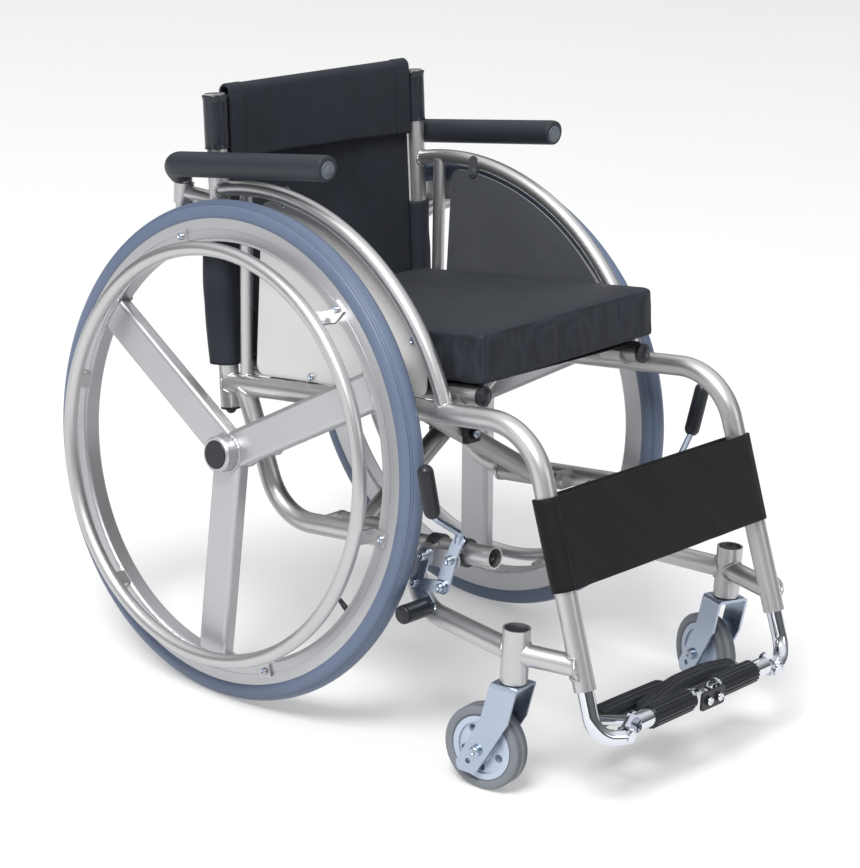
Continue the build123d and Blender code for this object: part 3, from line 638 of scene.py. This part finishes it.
for name, side in SIDES:
    matrix = wheel_matrix(name)
    beads = [bead([polar(matrix, HUB_BEAD_R, 5.0 * i, 10.0) for i in range(72)])]
    for angle in SPOKES:
        for out in (SPOKE_FACE, -SPOKE_FACE):
            line = []
            for i in range(24):
                sideways = -SPOKE_HALF + 2 * SPOKE_HALF * i / 23
                turn = angle + math.degrees(math.atan2(sideways, RIM_INSIDE))
                line.append(polar(matrix, RIM_INSIDE + 0.3, turn, out))
            beads.append(bead(line, False, SPOKE_BEAD))
    piece(name + "_wheel_beads", merged(beads), pale_silver, name + "_wheel")
    stem = [polar(matrix, r, VALVE_ANGLE, 0.0) for r in (256.0, 252.0, 246.0, 236.0)]
    valve = tube_mesh(stem, VALVE_R, [1.7, 1.0, 1.0, 0.8])
    piece(name + "_valve", valve, grip_rubber, name + "_wheel")
print("wheel welds and valves")

# %% [markdown]
# ## Screws, clamps and caps
# Small hardware is turned: a profile of radius and height is spun round its own axis. A
# button-head screw is a low dome with a socket sunk in it, and a clamp is a plain ring.
# Everything made here is small and doesn't move by itself, so it rides on its neighbour.

# %% Turned hardware
def turned(profile, place, direction, steps=24):
    """Solid of revolution from (radius, height) pairs in millimetres."""
    bm = bmesh.new()
    verts = [bm.verts.new((radius, 0.0, height)) for radius, height in profile]
    edges = [bm.edges.new(pair) for pair in zip(verts, verts[1:])]
    bmesh.ops.spin(bm, geom=verts + edges, cent=(0, 0, 0), axis=(0, 0, 1), dvec=(0, 0, 0),
                   angle=2 * math.pi, steps=steps, use_merge=True)
    bmesh.ops.remove_doubles(bm, verts=bm.verts, dist=1e-4)
    bmesh.ops.recalc_face_normals(bm, faces=bm.faces)
    turn = direction.to_track_quat("Z", "Y").to_matrix().to_4x4()
    matrix = Matrix.Translation(place) @ turn @ Matrix.Scale(MM, 4)
    bmesh.ops.transform(bm, matrix=matrix, verts=bm.verts)
    return bm


def button(place, direction, radius=5.2, height=2.0):
    """Button-head screw with a socket."""
    hole = radius * 0.42
    profile = [(0.0, height * 0.3), (hole, height * 0.3), (hole, height),
               (radius * 0.72, height * 0.9), (radius * 0.95, height * 0.5), (radius, 0.0)]
    return turned(profile, place, direction)


def ring(place, direction, inner, outer, half):
    """Plain ring with square edges."""
    profile = [(inner, -half), (outer, -half), (outer, half), (inner, half), (inner, -half)]
    return turned(profile, place, direction, 36)


# %% [markdown]
# Each brake hangs on two black clamps round the lower rail, and turns on four screws: two
# on the frame, one on the lever and one on the arm. Four smaller screws hold the side panel.

# %% Brakes, panels and armrests
BRAKE_SCREWS = ((-292.9, 246.5), (-332.7, 251.8))
PANEL_SCREWS = ((-234.0, 484.0), (-18.0, 606.0), (-200.0, 420.9), (-75.0, 405.6))
BRAKE_X, CRANK_X, PANEL_X, ROLLER_X = 209.4, 211.4, 176.0, 251.0
LEVER_SCREW, ARM_SCREW = (-323.8, 217.4), (-284.0, 212.1)
ROLLER_CAP = ((10.9, -0.2), (10.9, 0.8), (9.8, 2.2), (0.0, 2.6))
ARM_BUTTON = ((10.6, -0.4), (10.2, 0.8), (9.4, 1.0), (9.0, 0.6), (6.5, 2.4), (0.0, 3.4))
FORWARD = Vector((0, -1, 0))


def lower_rail_z(d):
    """Height of the lower rail's front stretch."""
    return 259.8 - (d + 365.0) * math.tan(SEAT_SLOPE)


for name, side in SIDES:
    out = Vector((side, 0, 0))
    frame_body = name + "_frame"
    pins = [button(at(BRAKE_X * side, d, z), out) for d, z in BRAKE_SCREWS]
    pins += [button(at(PANEL_X * side, d, z), out, 4.6, 1.6) for d, z in PANEL_SCREWS]
    piece(name + "_screws", merged(pins), zinc, frame_body)
    lever_pin = button(at(CRANK_X * side, *LEVER_SCREW), out, 4.8, 1.8)
    piece(name + "_lever_screw", lever_pin, zinc, name + "_brake_lever")
    arm_pin = button(at(CRANK_X * side, *ARM_SCREW), out, 4.8, 1.8)
    piece(name + "_arm_screw", arm_pin, zinc, name + "_brake_arm")
    clamps = [ring(at(FRAME_X * side, d, lower_rail_z(d)), SEAT_AXIS, 13.0, 16.8, 6.9)
              for d, _ in BRAKE_SCREWS]
    piece(name + "_clamps", merged(clamps), black_plastic, frame_body, False)
    mouth = ring(at(FRAME_X * side, -371.0, 260.5), SEAT_AXIS, 11.0, 13.1, 7.0)
    piece(name + "_rail_mouth", mouth, silver, frame_body, False)
    cap = turned(ROLLER_CAP, at(ROLLER_X * side, -306.0, 189.4), out)
    piece(name + "_roller_cap", cap, grip_rubber, name + "_brake_arm")
    dome = turned(ARM_BUTTON, at(206.5 * side, -119.6, 667.0), FORWARD, 32)
    piece(name + "_arm_button", dome, button_rubber, name + "_armrest")

# %% [markdown]
# A caster turns on one bolt with a head at each end. Six tabs hold the handrim, each with
# a screw, and the footrest has a chrome collar on each half and two screws in its link.

# %% Casters, handrims and footrest
CASTER_HALF = 25.4 * MM
TAB_R, TAB_OUT = 267.0, 18.1
TAB_ANGLES = (8.0, 68.0, 128.0, 188.0, 248.0, 308.0)
for name, side in SIDES:
    middle, axis = wheel_axes(name, "_caster_spin")
    bolts = [button(middle + axis * (CASTER_HALF * end), axis * end, 6.2, 2.4) for end in (1, -1)]
    piece(name + "_caster_bolts", merged(bolts), zinc, name + "_fork")
    matrix = wheel_matrix(name)
    axis = wheel_axes(name)[1]
    tabs = [button(polar(matrix, TAB_R, angle, TAB_OUT), axis, 4.4, 1.8) for angle in TAB_ANGLES]
    piece(name + "_tab_screws", merged(tabs), zinc, name + "_wheel")
    collar = ring(at(26.0 * side, -550, 100), Vector((side, 0, 0)), 9.2, 12.6, 2.6)
    piece(name + "_foot_collar", collar, chrome, name + "_foot", False)
heads = [button(at(x, -571.0, 100), FORWARD, 5.0, 1.8) for x in (-10.0, 10.0)]
piece("foot_screws", merged(heads), chrome, "foot_link")
pivot_head = button(on_seat(0, 230.4, 302.96), SEAT_AXIS, 5.6, 2.2)
piece("pivot_screw", pivot_head, zinc, "crossbar_a")
print("hardware done")

# %% [markdown]
# The two rear bars of the footrest are ribbed lengthwise. A rib is a thin bead that follows
# its bar, set off to one side of the bar's line.

# %% Ribs on the rear bars
RIB = 0.9 * MM
REAR_BAR_R = 13.0


def softened(points, reach=14, step=4.0):
    """Even points along a line with its corners eased."""
    dense = []
    for start, end in zip(points, points[1:]):
        count = max(2, round((end - start).length / (step * MM)))
        dense += [start.lerp(end, i / count) for i in range(count)]
    dense.append(points[-1])
    eased = []
    for i in range(len(dense)):
        span = min(reach // 4, i, len(dense) - 1 - i)
        near = dense[i - span:i + span + 1]
        eased.append(sum(near, Vector()) / len(near))
    return eased


def ribs(points, radius, count=16):
    """Thin beads round a bar that lies in a plane across the chair."""
    line = softened(points)
    beads = []
    for k in range(count):
        turn = 2 * math.pi * k / count
        offset_line = []
        for i, point in enumerate(line):
            run = line[min(i + 1, len(line) - 1)] - line[max(i - 1, 0)]
            up = run.cross(Vector((0, 1, 0))).normalized()
            ahead = Vector((0, 1, 0)) * math.sin(turn)
            offset_line.append(point + (up * math.cos(turn) + ahead) * (radius * MM))
        beads.append(tube_mesh(offset_line, RIB, sides=8))
    return merged(beads)


arch = [at(110, -513, 88.2), at(60, -513, 96), at(0, -513, 96), at(-55, -513, 82)]
piece("left_ribs", ribs(arch, REAR_BAR_R), grip_rubber, "left_foot")
flat_bar = [at(-110, -485.5, 81), at(-60, -485.5, 81), at(8, -485.5, 80)]
piece("right_ribs", ribs(flat_bar, REAR_BAR_R), grip_rubber, "right_foot")
print("ribs on both rear bars")

# %% [markdown]
# ## Seat cushion
# The cushion is a boxed foam pad in a sewn cover. Its four top seams stay crisp, because the
# cover is stitched there, while the sides swell a little and gather between the corners. A
# cloth simulation with air pressure gives that swelling: the seams are pinned, and the rest
# of the cover moves out by a few millimetres. The chair's left edge of the pad sits a little
# higher than its right one.

# %% Shape before the swelling
CUSHION_HALF = 161.0
CUSHION_S = (4.0, 384.0)
CUSHION_N = (406.0, 465.0)
CORNER_ROUND = 8.0
SEAM_ROUND = 3.5


def boxed_pad():
    """Boxed pad in the seat's frame, in millimetres."""
    bm = bmesh.new()
    bmesh.ops.create_cube(bm, size=1.0)
    size = (2 * CUSHION_HALF, CUSHION_S[1] - CUSHION_S[0], CUSHION_N[1] - CUSHION_N[0])
    bmesh.ops.scale(bm, vec=size, verts=bm.verts)
    upright = [e for e in bm.edges if abs(e.verts[0].co.z - e.verts[1].co.z) > 1]
    bmesh.ops.bevel(bm, geom=upright, offset=CORNER_ROUND, segments=4, profile=0.5, affect="EDGES",
                    material=-1)
    rims = [e for e in bm.edges if abs(e.verts[0].co.z - e.verts[1].co.z) < 1
            and len({round(f.normal.z, 2) for f in e.link_faces}) > 1]
    bmesh.ops.bevel(bm, geom=rims, offset=SEAM_ROUND, segments=2, profile=0.5,
                    affect="EDGES", material=-1)
    centre = (0, -sum(CUSHION_S) / 2, sum(CUSHION_N) / 2)
    bmesh.ops.translate(bm, vec=centre, verts=bm.verts)
    bmesh.ops.transform(bm, matrix=SEAT_MATRIX @ Matrix.Scale(MM, 4), verts=bm.verts)
    return bm


cushion = piece("seat_cushion", boxed_pad(), mesh_cloth, None)
seat_inverse = SEAT_MATRIX.inverted()

# %% Swell it as cloth
VOXEL = 0.004
PRESSURE = 4.0
CUSHION_CAP = 7.0 * MM
SEAM_ACROSS = 7.0
SEAM_TOP, SEAM_BOTTOM = 6.0, 3.0


def apply_modifier(obj, kind, name, **settings):
    """Add a modifier and bake its result into the mesh."""
    modifier = obj.modifiers.new(name, kind)
    for key, value in settings.items():
        setattr(modifier, key, value)
    keep_result(obj)


def keep_result(obj):
    """Replace an object's mesh with what its modifiers make of it."""
    graph = bpy.context.evaluated_depsgraph_get()
    mesh = bpy.data.meshes.new_from_object(obj.evaluated_get(graph))
    obj.modifiers.clear()
    obj.data = mesh


def swell(obj, pressure, cap, pinned):
    """Inflate a closed cover; pinned(point) is true where a seam holds it."""
    rest = [v.co.copy() for v in obj.data.vertices]
    group = obj.vertex_groups.new(name="seam")
    group.add([i for i, co in enumerate(rest) if pinned(co)], 1.0, "REPLACE")
    cloth = obj.modifiers.new("cloth", "CLOTH")
    cloth.settings.use_pressure = True
    cloth.settings.uniform_pressure_force = pressure
    cloth.settings.effector_weights.gravity = 0.0
    cloth.settings.vertex_group_mass = "seam"
    cloth.settings.quality = 5
    for step in range(1, 21):
        bpy.context.scene.frame_set(step)
    keep_result(obj)
    bpy.context.scene.frame_set(1)
    for vertex, start in zip(obj.data.vertices, rest):
        move = vertex.co - start
        if move.length > cap:
            vertex.co = start + move.normalized() * cap
    obj.vertex_groups.clear()


def edge_gap(local):
    """Distance in from the nearest side of the cushion, in millimetres."""
    return min(
        CUSHION_HALF - abs(local.x),
        CUSHION_S[1] + local.y,
        -local.y - CUSHION_S[0],
    )


def on_seam(point):
    """True near the stitched edges of the cushion's top, and on its flat bottom."""
    local = seat_inverse @ point / MM
    at_edge = edge_gap(local) < SEAM_ACROSS
    high = local.z > CUSHION_N[1] - SEAM_TOP
    low = local.z < CUSHION_N[0] + SEAM_BOTTOM
    return at_edge and high or low


apply_modifier(cushion, "REMESH", "remesh", mode="VOXEL", voxel_size=VOXEL)
swell(cushion, PRESSURE, CUSHION_CAP, on_seam)
print("cushion vertices", len(cushion.data.vertices))

# %% [markdown]
# The cover is gathered along the front and sides, so it stands in soft upright folds that
# fade at the seams. A groove runs round the top just inside the edge, where the two cloths
# are sewn together.

# %% Gathers and the stitched groove
GATHER = 0.035
GATHER_WIDE, GATHER_FINE = 4.2, 2.2
GATHER_IN = 9.0
CROWN, CROWN_REACH = 2.2, 70.0
GROOVE, GROOVE_IN, GROOVE_HALF = 1.3, 4.5, 1.8
LEFT_LIFT = 7.0


def gather(obj):
    """Push the sides in and out in upright folds, and press in the seam."""
    for vertex in obj.data.vertices:
        local = seat_inverse @ vertex.co / MM
        height = (local.z - CUSHION_N[0]) / (CUSHION_N[1] - CUSHION_N[0])
        gap = edge_gap(local)
        if gap < GATHER_IN and 0.0 < height < 0.95:
            along = Vector((local.x, local.y, 0.0)) * GATHER
            fold = noise.noise(along + Vector((0, 0, height * 0.9)))
            fine = noise.noise(along * 2.7 + Vector((7.0, 0, height * 1.3)))
            amount = GATHER_WIDE * fold + GATHER_FINE * fine
            amount *= math.sin(math.pi * height) ** 0.7
            local += Vector((local.x / CUSHION_HALF, 0, 0)) * amount
            if -local.y > CUSHION_S[1] - GATHER_IN:
                local.y += amount * 0.9
        if height > 0.9:
            crown = min(1.0, max(0.0, gap / CROWN_REACH))
            local.z += CROWN * math.sin(crown * math.pi / 2)
            local.z += 0.7 * noise.noise(Vector((local.x, local.y, 0)) * 0.012)
            local.z -= GROOVE * math.exp(-((gap - GROOVE_IN) / GROOVE_HALF) ** 2)
        local.z += LEFT_LIFT * (0.5 + local.x / (2 * CUSHION_HALF))
        vertex.co = SEAT_MATRIX @ (local * MM)


apply_modifier(cushion, "SUBSURF", "smooth", levels=1, render_levels=1)
gather(cushion)
cushion.data.shade_smooth()
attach(cushion, "seat")
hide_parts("cushion")

# %% [markdown]
# When the frame folds, the two seat rails come together, and the left rail stays where it is
# in the seat's body. The cushion is given a mesh of its own, and a point on the left rail is
# set down.

# %% The cushion's own mesh
LEFT_RAIL = tuple(on_seat(150, 180, 391))
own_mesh(cushion)
print("cushion ready")

# %% [markdown]
# ## Sheets of cloth
# The sling, the back, the flap over its top and the calf strap are cloth sheets. Each is a
# grid of squares bent into place by a function of two numbers, across and down, and then
# given its thickness. The function is where the sag, the folds and the hems are described.

# %% Bend a grid into a sheet
def sheet_mesh(name, across, down, shape, thick, material):
    """Grid bent by shape(u, v), with u and v from 0 to 1, and given a thickness."""
    bm = bmesh.new()
    bmesh.ops.create_grid(bm, x_segments=across, y_segments=down, size=0.5)
    for vertex in bm.verts:
        vertex.co = shape(vertex.co.x + 0.5, vertex.co.y + 0.5)
    bmesh.ops.recalc_face_normals(bm, faces=bm.faces)
    made = piece(name, bm, material, None)
    solid = made.modifiers.new("thickness", "SOLIDIFY")
    solid.thickness = thick
    solid.offset = 0.0
    solid.use_even_offset = True
    return made


CANE_LEAN = CANE_AXIS.y / CANE_AXIS.z
LEAN_ANGLE = math.atan(CANE_LEAN)
CANE_FOOT = (57.0, 340.0)
BACK_HALF = 162.0
BACK_LOW, BACK_TALL = 393.0, 326.0
OUT_OF_BACK = Vector((0, -math.cos(LEAN_ANGLE), math.sin(LEAN_ANGLE)))


def on_back(x, z, ahead):
    """Point on the plane of the canes, ahead being millimetres in front of it."""
    behind = CANE_FOOT[0] + (z - CANE_FOOT[1]) * CANE_LEAN
    return at(x, behind, z) + OUT_OF_BACK * (ahead * MM)


def back_shape(u, v):
    """Main back cloth: slack, hollow in the middle and creased on the slant."""
    x = (u - 0.5) * 2 * BACK_HALF
    z = BACK_LOW + v * BACK_TALL
    middle = math.cos(math.pi * (u - 0.5))
    hollow = -9.0 * middle * math.sin(math.pi * min(1.0, v * 1.1)) ** 0.6
    slant = noise.noise(Vector((x * 0.022 + z * 0.016, z * 0.006 - x * 0.004, 1.7)))
    crease = 3.6 * slant + 1.8 * noise.noise(Vector((x * 0.05 + z * 0.03, z * 0.012, 4.2)))
    pull = 2.0 * noise.noise(Vector((x * 0.03, z * 0.005, 8.0))) * middle
    return on_back(x, z, hollow + crease * middle ** 0.3 + pull)


back = sheet_mesh("back_cloth", 90, 90, back_shape, 2.4 * MM, back_cloth)
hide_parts("back_upholstery")
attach(back, "left_frame")

# %% [markdown]
# The flap hangs over the top of the back like a saddle cloth. Its front panel ends in a soft
# lower edge, both sides carry a wide sewn band, and a shorter tail hangs behind. The tail
# stands away from the back on the chair's right, and the fold rises toward its left.

# %% Flap over the top
FLAP_HALF = 161.5
FLAP_FRONT = 641.0
FLAP_BACK = 656.0
FLAP_TOP = 722.0
FLAP_RISE = 6.0
TAIL_FLARE = 30.0
ROLL = 8.0


def flap_shape(u, v):
    """Saddle shape: up the front, round the top and down behind."""
    x = (u - 0.5) * 2 * FLAP_HALF
    front = FLAP_TOP - FLAP_FRONT
    round_top = math.pi * ROLL
    rear = FLAP_TOP - FLAP_BACK
    path = v * (front + round_top + rear)
    edge = abs(u - 0.5) * 2
    rise = FLAP_RISE * u
    wave = 1.4 * noise.noise(Vector((x * 0.012, path * 0.02, 3.1)))
    wave += 0.9 * noise.noise(Vector((x * 0.03 + path * 0.03, path * 0.02, 6.4)))
    if path < front:
        hang = 1.0 - path / front
        low = 4.0 * hang * (1.0 - edge ** 3) * (0.4 + 0.6 * noise.noise(Vector((x * 0.01, 0, 5))))
        ahead = ROLL + wave * hang - 3.0 * (1 - edge ** 4) * hang
        return on_back(x, FLAP_FRONT + path + low + rise * (1.0 - hang), ahead)
    if path < front + round_top:
        turn = (path - front) / ROLL
        return on_back(x, FLAP_TOP + rise + ROLL * math.sin(turn), ROLL * math.cos(turn))
    down = (path - front - round_top) / rear
    flare = TAIL_FLARE * down ** 1.3 * (1.0 - u) ** 2
    return on_back(x, FLAP_TOP + rise * (1.0 - down) - down * rear, -ROLL - wave * down - flare)


flap = sheet_mesh("back_flap_cloth", 80, 60, flap_shape, 2.6 * MM, back_cloth)
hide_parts("back_flap")
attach(flap, "left_frame")


BAND_IN, BAND_WIDE = 0.424, 0.072


def flap_band(side):
    """Shape of the sewn band along one side of the flap."""
    def shape(u, v):
        point = flap_shape(0.5 + side * (BAND_IN + BAND_WIDE * u), v)
        push = (v < 0.45) * 1.0 - (v > 0.62) * 1.0
        lift = OUT_OF_BACK * (1.6 * MM * push)
        return point + lift + Vector((0, 0, 1.4 * MM if 0.4 < v < 0.66 else 0.0))
    return shape


bands = [sheet_mesh("flap_band_" + name, 8, 60, flap_band(side), 1.6 * MM, band_cloth)
         for name, side in SIDES]
for band in bands:
    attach(band, "left_frame")

# %% [markdown]
# Where the cloth goes round a cane it makes a sleeve. The lower sleeves are the same nylon,
# wrinkled by the pull of the back, and loose behind the cane. The upper ones are smooth
# vinyl covers that flare a little at their open tops.

# %% Sleeves round the canes
CANE_X = 178.0


def sleeve(name, side, low, high, radius, material, flare, wrinkle, body, slack=0.0):
    """Open tube of cloth round a cane; slack makes the loop longer behind it."""
    def shape(u, v):
        turn = 2 * math.pi * u
        z = low + (high - low) * v
        spread = radius + flare * max(0.0, v - 0.9) * 10.0 + flare * 0.5 * max(0.0, 0.06 - v) * 16
        point = Vector((math.cos(turn), math.sin(turn), z * 0.05))
        spread += wrinkle * (0.5 + 0.5 * noise.noise(Vector((point.x, point.y, z * 0.035))))
        centre = on_back(CANE_X * side, z, 0.0)
        spread += slack * max(0.0, -math.sin(turn)) ** 1.5 * (0.75 + 0.25 * math.sin(math.pi * v))
        around = Vector((math.cos(turn), 0, 0)) + OUT_OF_BACK * math.sin(turn)
        return centre + around * (spread * MM)
    made = sheet_mesh(name, 40, 40, shape, 1.2 * MM, material)
    bm = bmesh.new()
    bm.from_mesh(made.data)
    bmesh.ops.remove_doubles(bm, verts=bm.verts, dist=1e-5)
    bmesh.ops.recalc_face_normals(bm, faces=bm.faces)
    bm.to_mesh(made.data)
    bm.free()
    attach(made, body)
    return made


for name, side in SIDES:
    body = name + "_frame"
    sleeve(name + "_cane_wrap", side, 393.0, 551.0, 13.9, back_cloth, 0.4, 1.6, body, 15.0)
    sleeve(name + "_cane_cover", side, 656.0, 720.0, 13.8, vinyl, 1.2, 0.5, body)

# %% [markdown]
# The calf strap is a flat loop round both downtubes. Its front is nearly taut, with a few
# slanting creases, and its ends turn round the tubes as separate pieces, so that they stay
# with their own tube when the chair folds.

# %% Calf strap
STRAP_Z = (253.0, 352.0)
STRAP_X = 182.35
STRAP_R = 15.2


def strap_centre(z):
    """Distance behind the axle of the downtubes at a height."""
    return RAIL_TURN[0] + (z - RAIL_TURN[1]) / DOWN_AXIS.z * DOWN_AXIS.y


AHEAD = Vector((0, DOWN_AXIS.z, -DOWN_AXIS.y)).normalized()


def strap_sheet(front, wave):
    """Front or rear run of the strap."""
    def shape(u, v):
        x = (u - 0.5) * 2 * STRAP_X
        z = STRAP_Z[0] + (STRAP_Z[1] - STRAP_Z[0]) * v
        fold = wave * noise.noise(Vector((x * 0.011 + z * 0.012, z * 0.008, 2.0 + front)))
        fold += 0.6 * wave * noise.noise(Vector((x * 0.03 + z * 0.03, z * 0.01, 5.0 + front)))
        slack = 2.0 * math.cos(math.pi * (u - 0.5)) * (v - 0.5)
        return at(x, strap_centre(z), z) + AHEAD * (MM * (front * STRAP_R + fold + slack))
    return shape


def strap_end(side):
    """Half turn of the strap round one downtube."""
    def shape(u, v):
        turn = math.pi * (u - 0.5)
        z = STRAP_Z[0] + (STRAP_Z[1] - STRAP_Z[0]) * v
        centre = at(STRAP_X * side, strap_centre(z), z)
        out = Vector((side, 0, 0)) * math.cos(turn) + AHEAD * math.sin(turn)
        return centre + out * (STRAP_R * MM)
    return shape


strap_front_shape = strap_sheet(1.0, 2.6)
strap_rear_shape = strap_sheet(-1.0, 1.0)
strap = sheet_mesh(
    "calf_strap_front", 110, 34, strap_front_shape, 1.8 * MM, strap_cloth
)
strap_rear = sheet_mesh(
    "calf_strap_rear", 60, 20, strap_rear_shape, 1.6 * MM, strap_cloth
)
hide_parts("calf_strap")
for run in (strap, strap_rear):
    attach(run, "left_frame")
for name, side in SIDES:
    end = sheet_mesh("calf_strap_" + name, 20, 20, strap_end(side), 1.9 * MM, strap_cloth)
    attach(end, name + "_frame")
print("calf strap ready")

# %% [markdown]
# The seat sling lies under the cushion from rail to rail, and a narrow hem shows in front.

# %% Sling
SLING_WIDE, SLING_LONG = 314.0, 354.0
SLING_START = 12.0
SLING_TOP = 403.8
TURN_DOWN_X = 150.0


def sling_shape(u, v):
    """Sling with its sides turned down over the rails."""
    x = (u - 0.5) * SLING_WIDE
    turn = max(0.0, abs(x) - TURN_DOWN_X)
    return on_seat(x, SLING_START + v * SLING_LONG, SLING_TOP - turn * turn * 0.055)


sling = sheet_mesh("seat_sling_cloth", 60, 40, sling_shape, 2.0 * MM, sling_cloth)
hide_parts("seat_sling")
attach(sling, "seat")

# %% [markdown]
# The right frame comes toward the left one in the fold. The back, the flap, its bands, the
# strap and the sling are each given a mesh of their own, and a point on the left cane and
# one on the left downtube are set down.

# %% Cloth meshes of their own
LEFT_CANE = tuple(at(163, 80, 600))
LEFT_DOWNTUBE = tuple(at(STRAP_X, -460, 300))
for made in (back, flap, *bands):
    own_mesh(made)
for made in (strap, strap_rear):
    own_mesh(made)
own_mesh(sling)

# %% [markdown]
# ## Light, floor and camera
# A very large pale floor stands in for a paper sweep, and glows a little, so that it stays
# pale in the chair's shade. One big soft light stands far off over the chair's right side,
# two weak ones fill from the front and from that side, and the sky adds the rest. The sky
# is bright overhead and darker near the horizon, which gives each tube a bright top and
# dark flanks, as a studio with dark walls does.

# %% Floor
FLOOR_GLOW = 0.30
FLOOR_HALF = 30.0


def floor_finish():
    """Plain pale floor."""
    finish = Finish("floor_paper", Roughness=0.9, Emission_Strength=FLOOR_GLOW)
    finish.shader.inputs["Emission Color"].default_value = (1.0, 1.0, 1.0, 1.0)
    cloud = finish.grain(2.0, 2.0)
    tone = finish.blend(cloud, (0.50, 0.50, 0.505), (0.52, 0.52, 0.525))
    return finish.set(Base_Color=tone).material


bm = bmesh.new()
bmesh.ops.create_grid(bm, x_segments=1, y_segments=1, size=FLOOR_HALF)
floor = piece("floor", bm, floor_finish(), None)

# %% Lights
def softbox(name, place, target, size, power, tint=(1.0, 1.0, 1.0)):
    """Square area light that faces a point."""
    light = bpy.data.lights.new(name, "AREA")
    light.size = size
    light.energy = power
    light.color = tint
    holder = bpy.data.objects.new(name, light)
    holder.location = place
    holder.rotation_euler = (Vector(target) - Vector(place)).to_track_quat("-Z", "Y").to_euler()
    bpy.context.scene.collection.objects.link(holder)


softbox("key", (-6.5, -2.6, 9.4), (0, 0, 0.35), 4.0, 1450.0, (1.0, 0.99, 0.97))
softbox("fill", (0.6, -3.6, 1.7), (0, 0, 0.4), 1.4, 12.0, (0.96, 0.98, 1.0))
softbox("side", (-3.4, 0.6, 1.1), (0, 0, 0.35), 1.0, 8.0)
SKY_STRENGTH = 1.05
SKY_STOPS = ((0.02, 0.06), (0.42, 0.36), (0.72, 1.0))


def studio_sky():
    """World that is bright overhead and dark at the horizon."""
    world = bpy.data.worlds.new("studio")
    world.use_nodes = True
    bpy.context.scene.world = world
    tree = world.node_tree
    view = tree.nodes.new("ShaderNodeTexCoord")
    split = tree.nodes.new("ShaderNodeSeparateXYZ")
    ramp = tree.nodes.new("ShaderNodeValToRGB")
    for i, (place, level) in enumerate(SKY_STOPS):
        stops = ramp.color_ramp.elements
        stop = stops[i] if i < 2 else stops.new(place)
        stop.position = place
        stop.color = (level * 0.98, level * 0.99, level, 1.0)
    sky = tree.nodes["Background"]
    tree.links.new(view.outputs["Generated"], split.inputs["Vector"])
    tree.links.new(split.outputs["Z"], ramp.inputs["Fac"])
    tree.links.new(ramp.outputs["Color"], sky.inputs["Color"])
    sky.inputs["Strength"].default_value = SKY_STRENGTH


studio_sky()
bpy.context.scene.view_settings.view_transform = "Standard"

# %% [markdown]
# The camera stands in front and to the chair's right, above the armrests, with a long lens.
# The lens is shifted slightly, which frames the chair without turning the camera.

# %% Camera
CAMERA_PLACE = Vector((-2.2033, -1.8846, 1.2012))
LOOK = Vector((0.71339, 0.64084, -0.28356))
ROLL_DEGREES = 2.64
FOCAL = 101.19
SHIFT = (0.0543, -0.0306)
lens = bpy.data.cameras.new("camera")
lens.sensor_width = 36.0
lens.lens = FOCAL
lens.shift_x, lens.shift_y = SHIFT
camera = bpy.data.objects.new("camera", lens)
bpy.context.scene.collection.objects.link(camera)
turn = LOOK.to_track_quat("-Z", "Y").to_matrix().to_4x4()
roll = Matrix.Rotation(math.radians(ROLL_DEGREES), 4, "Z")
camera.matrix_world = Matrix.Translation(CAMERA_PLACE) @ turn @ roll
bpy.context.scene.camera = camera
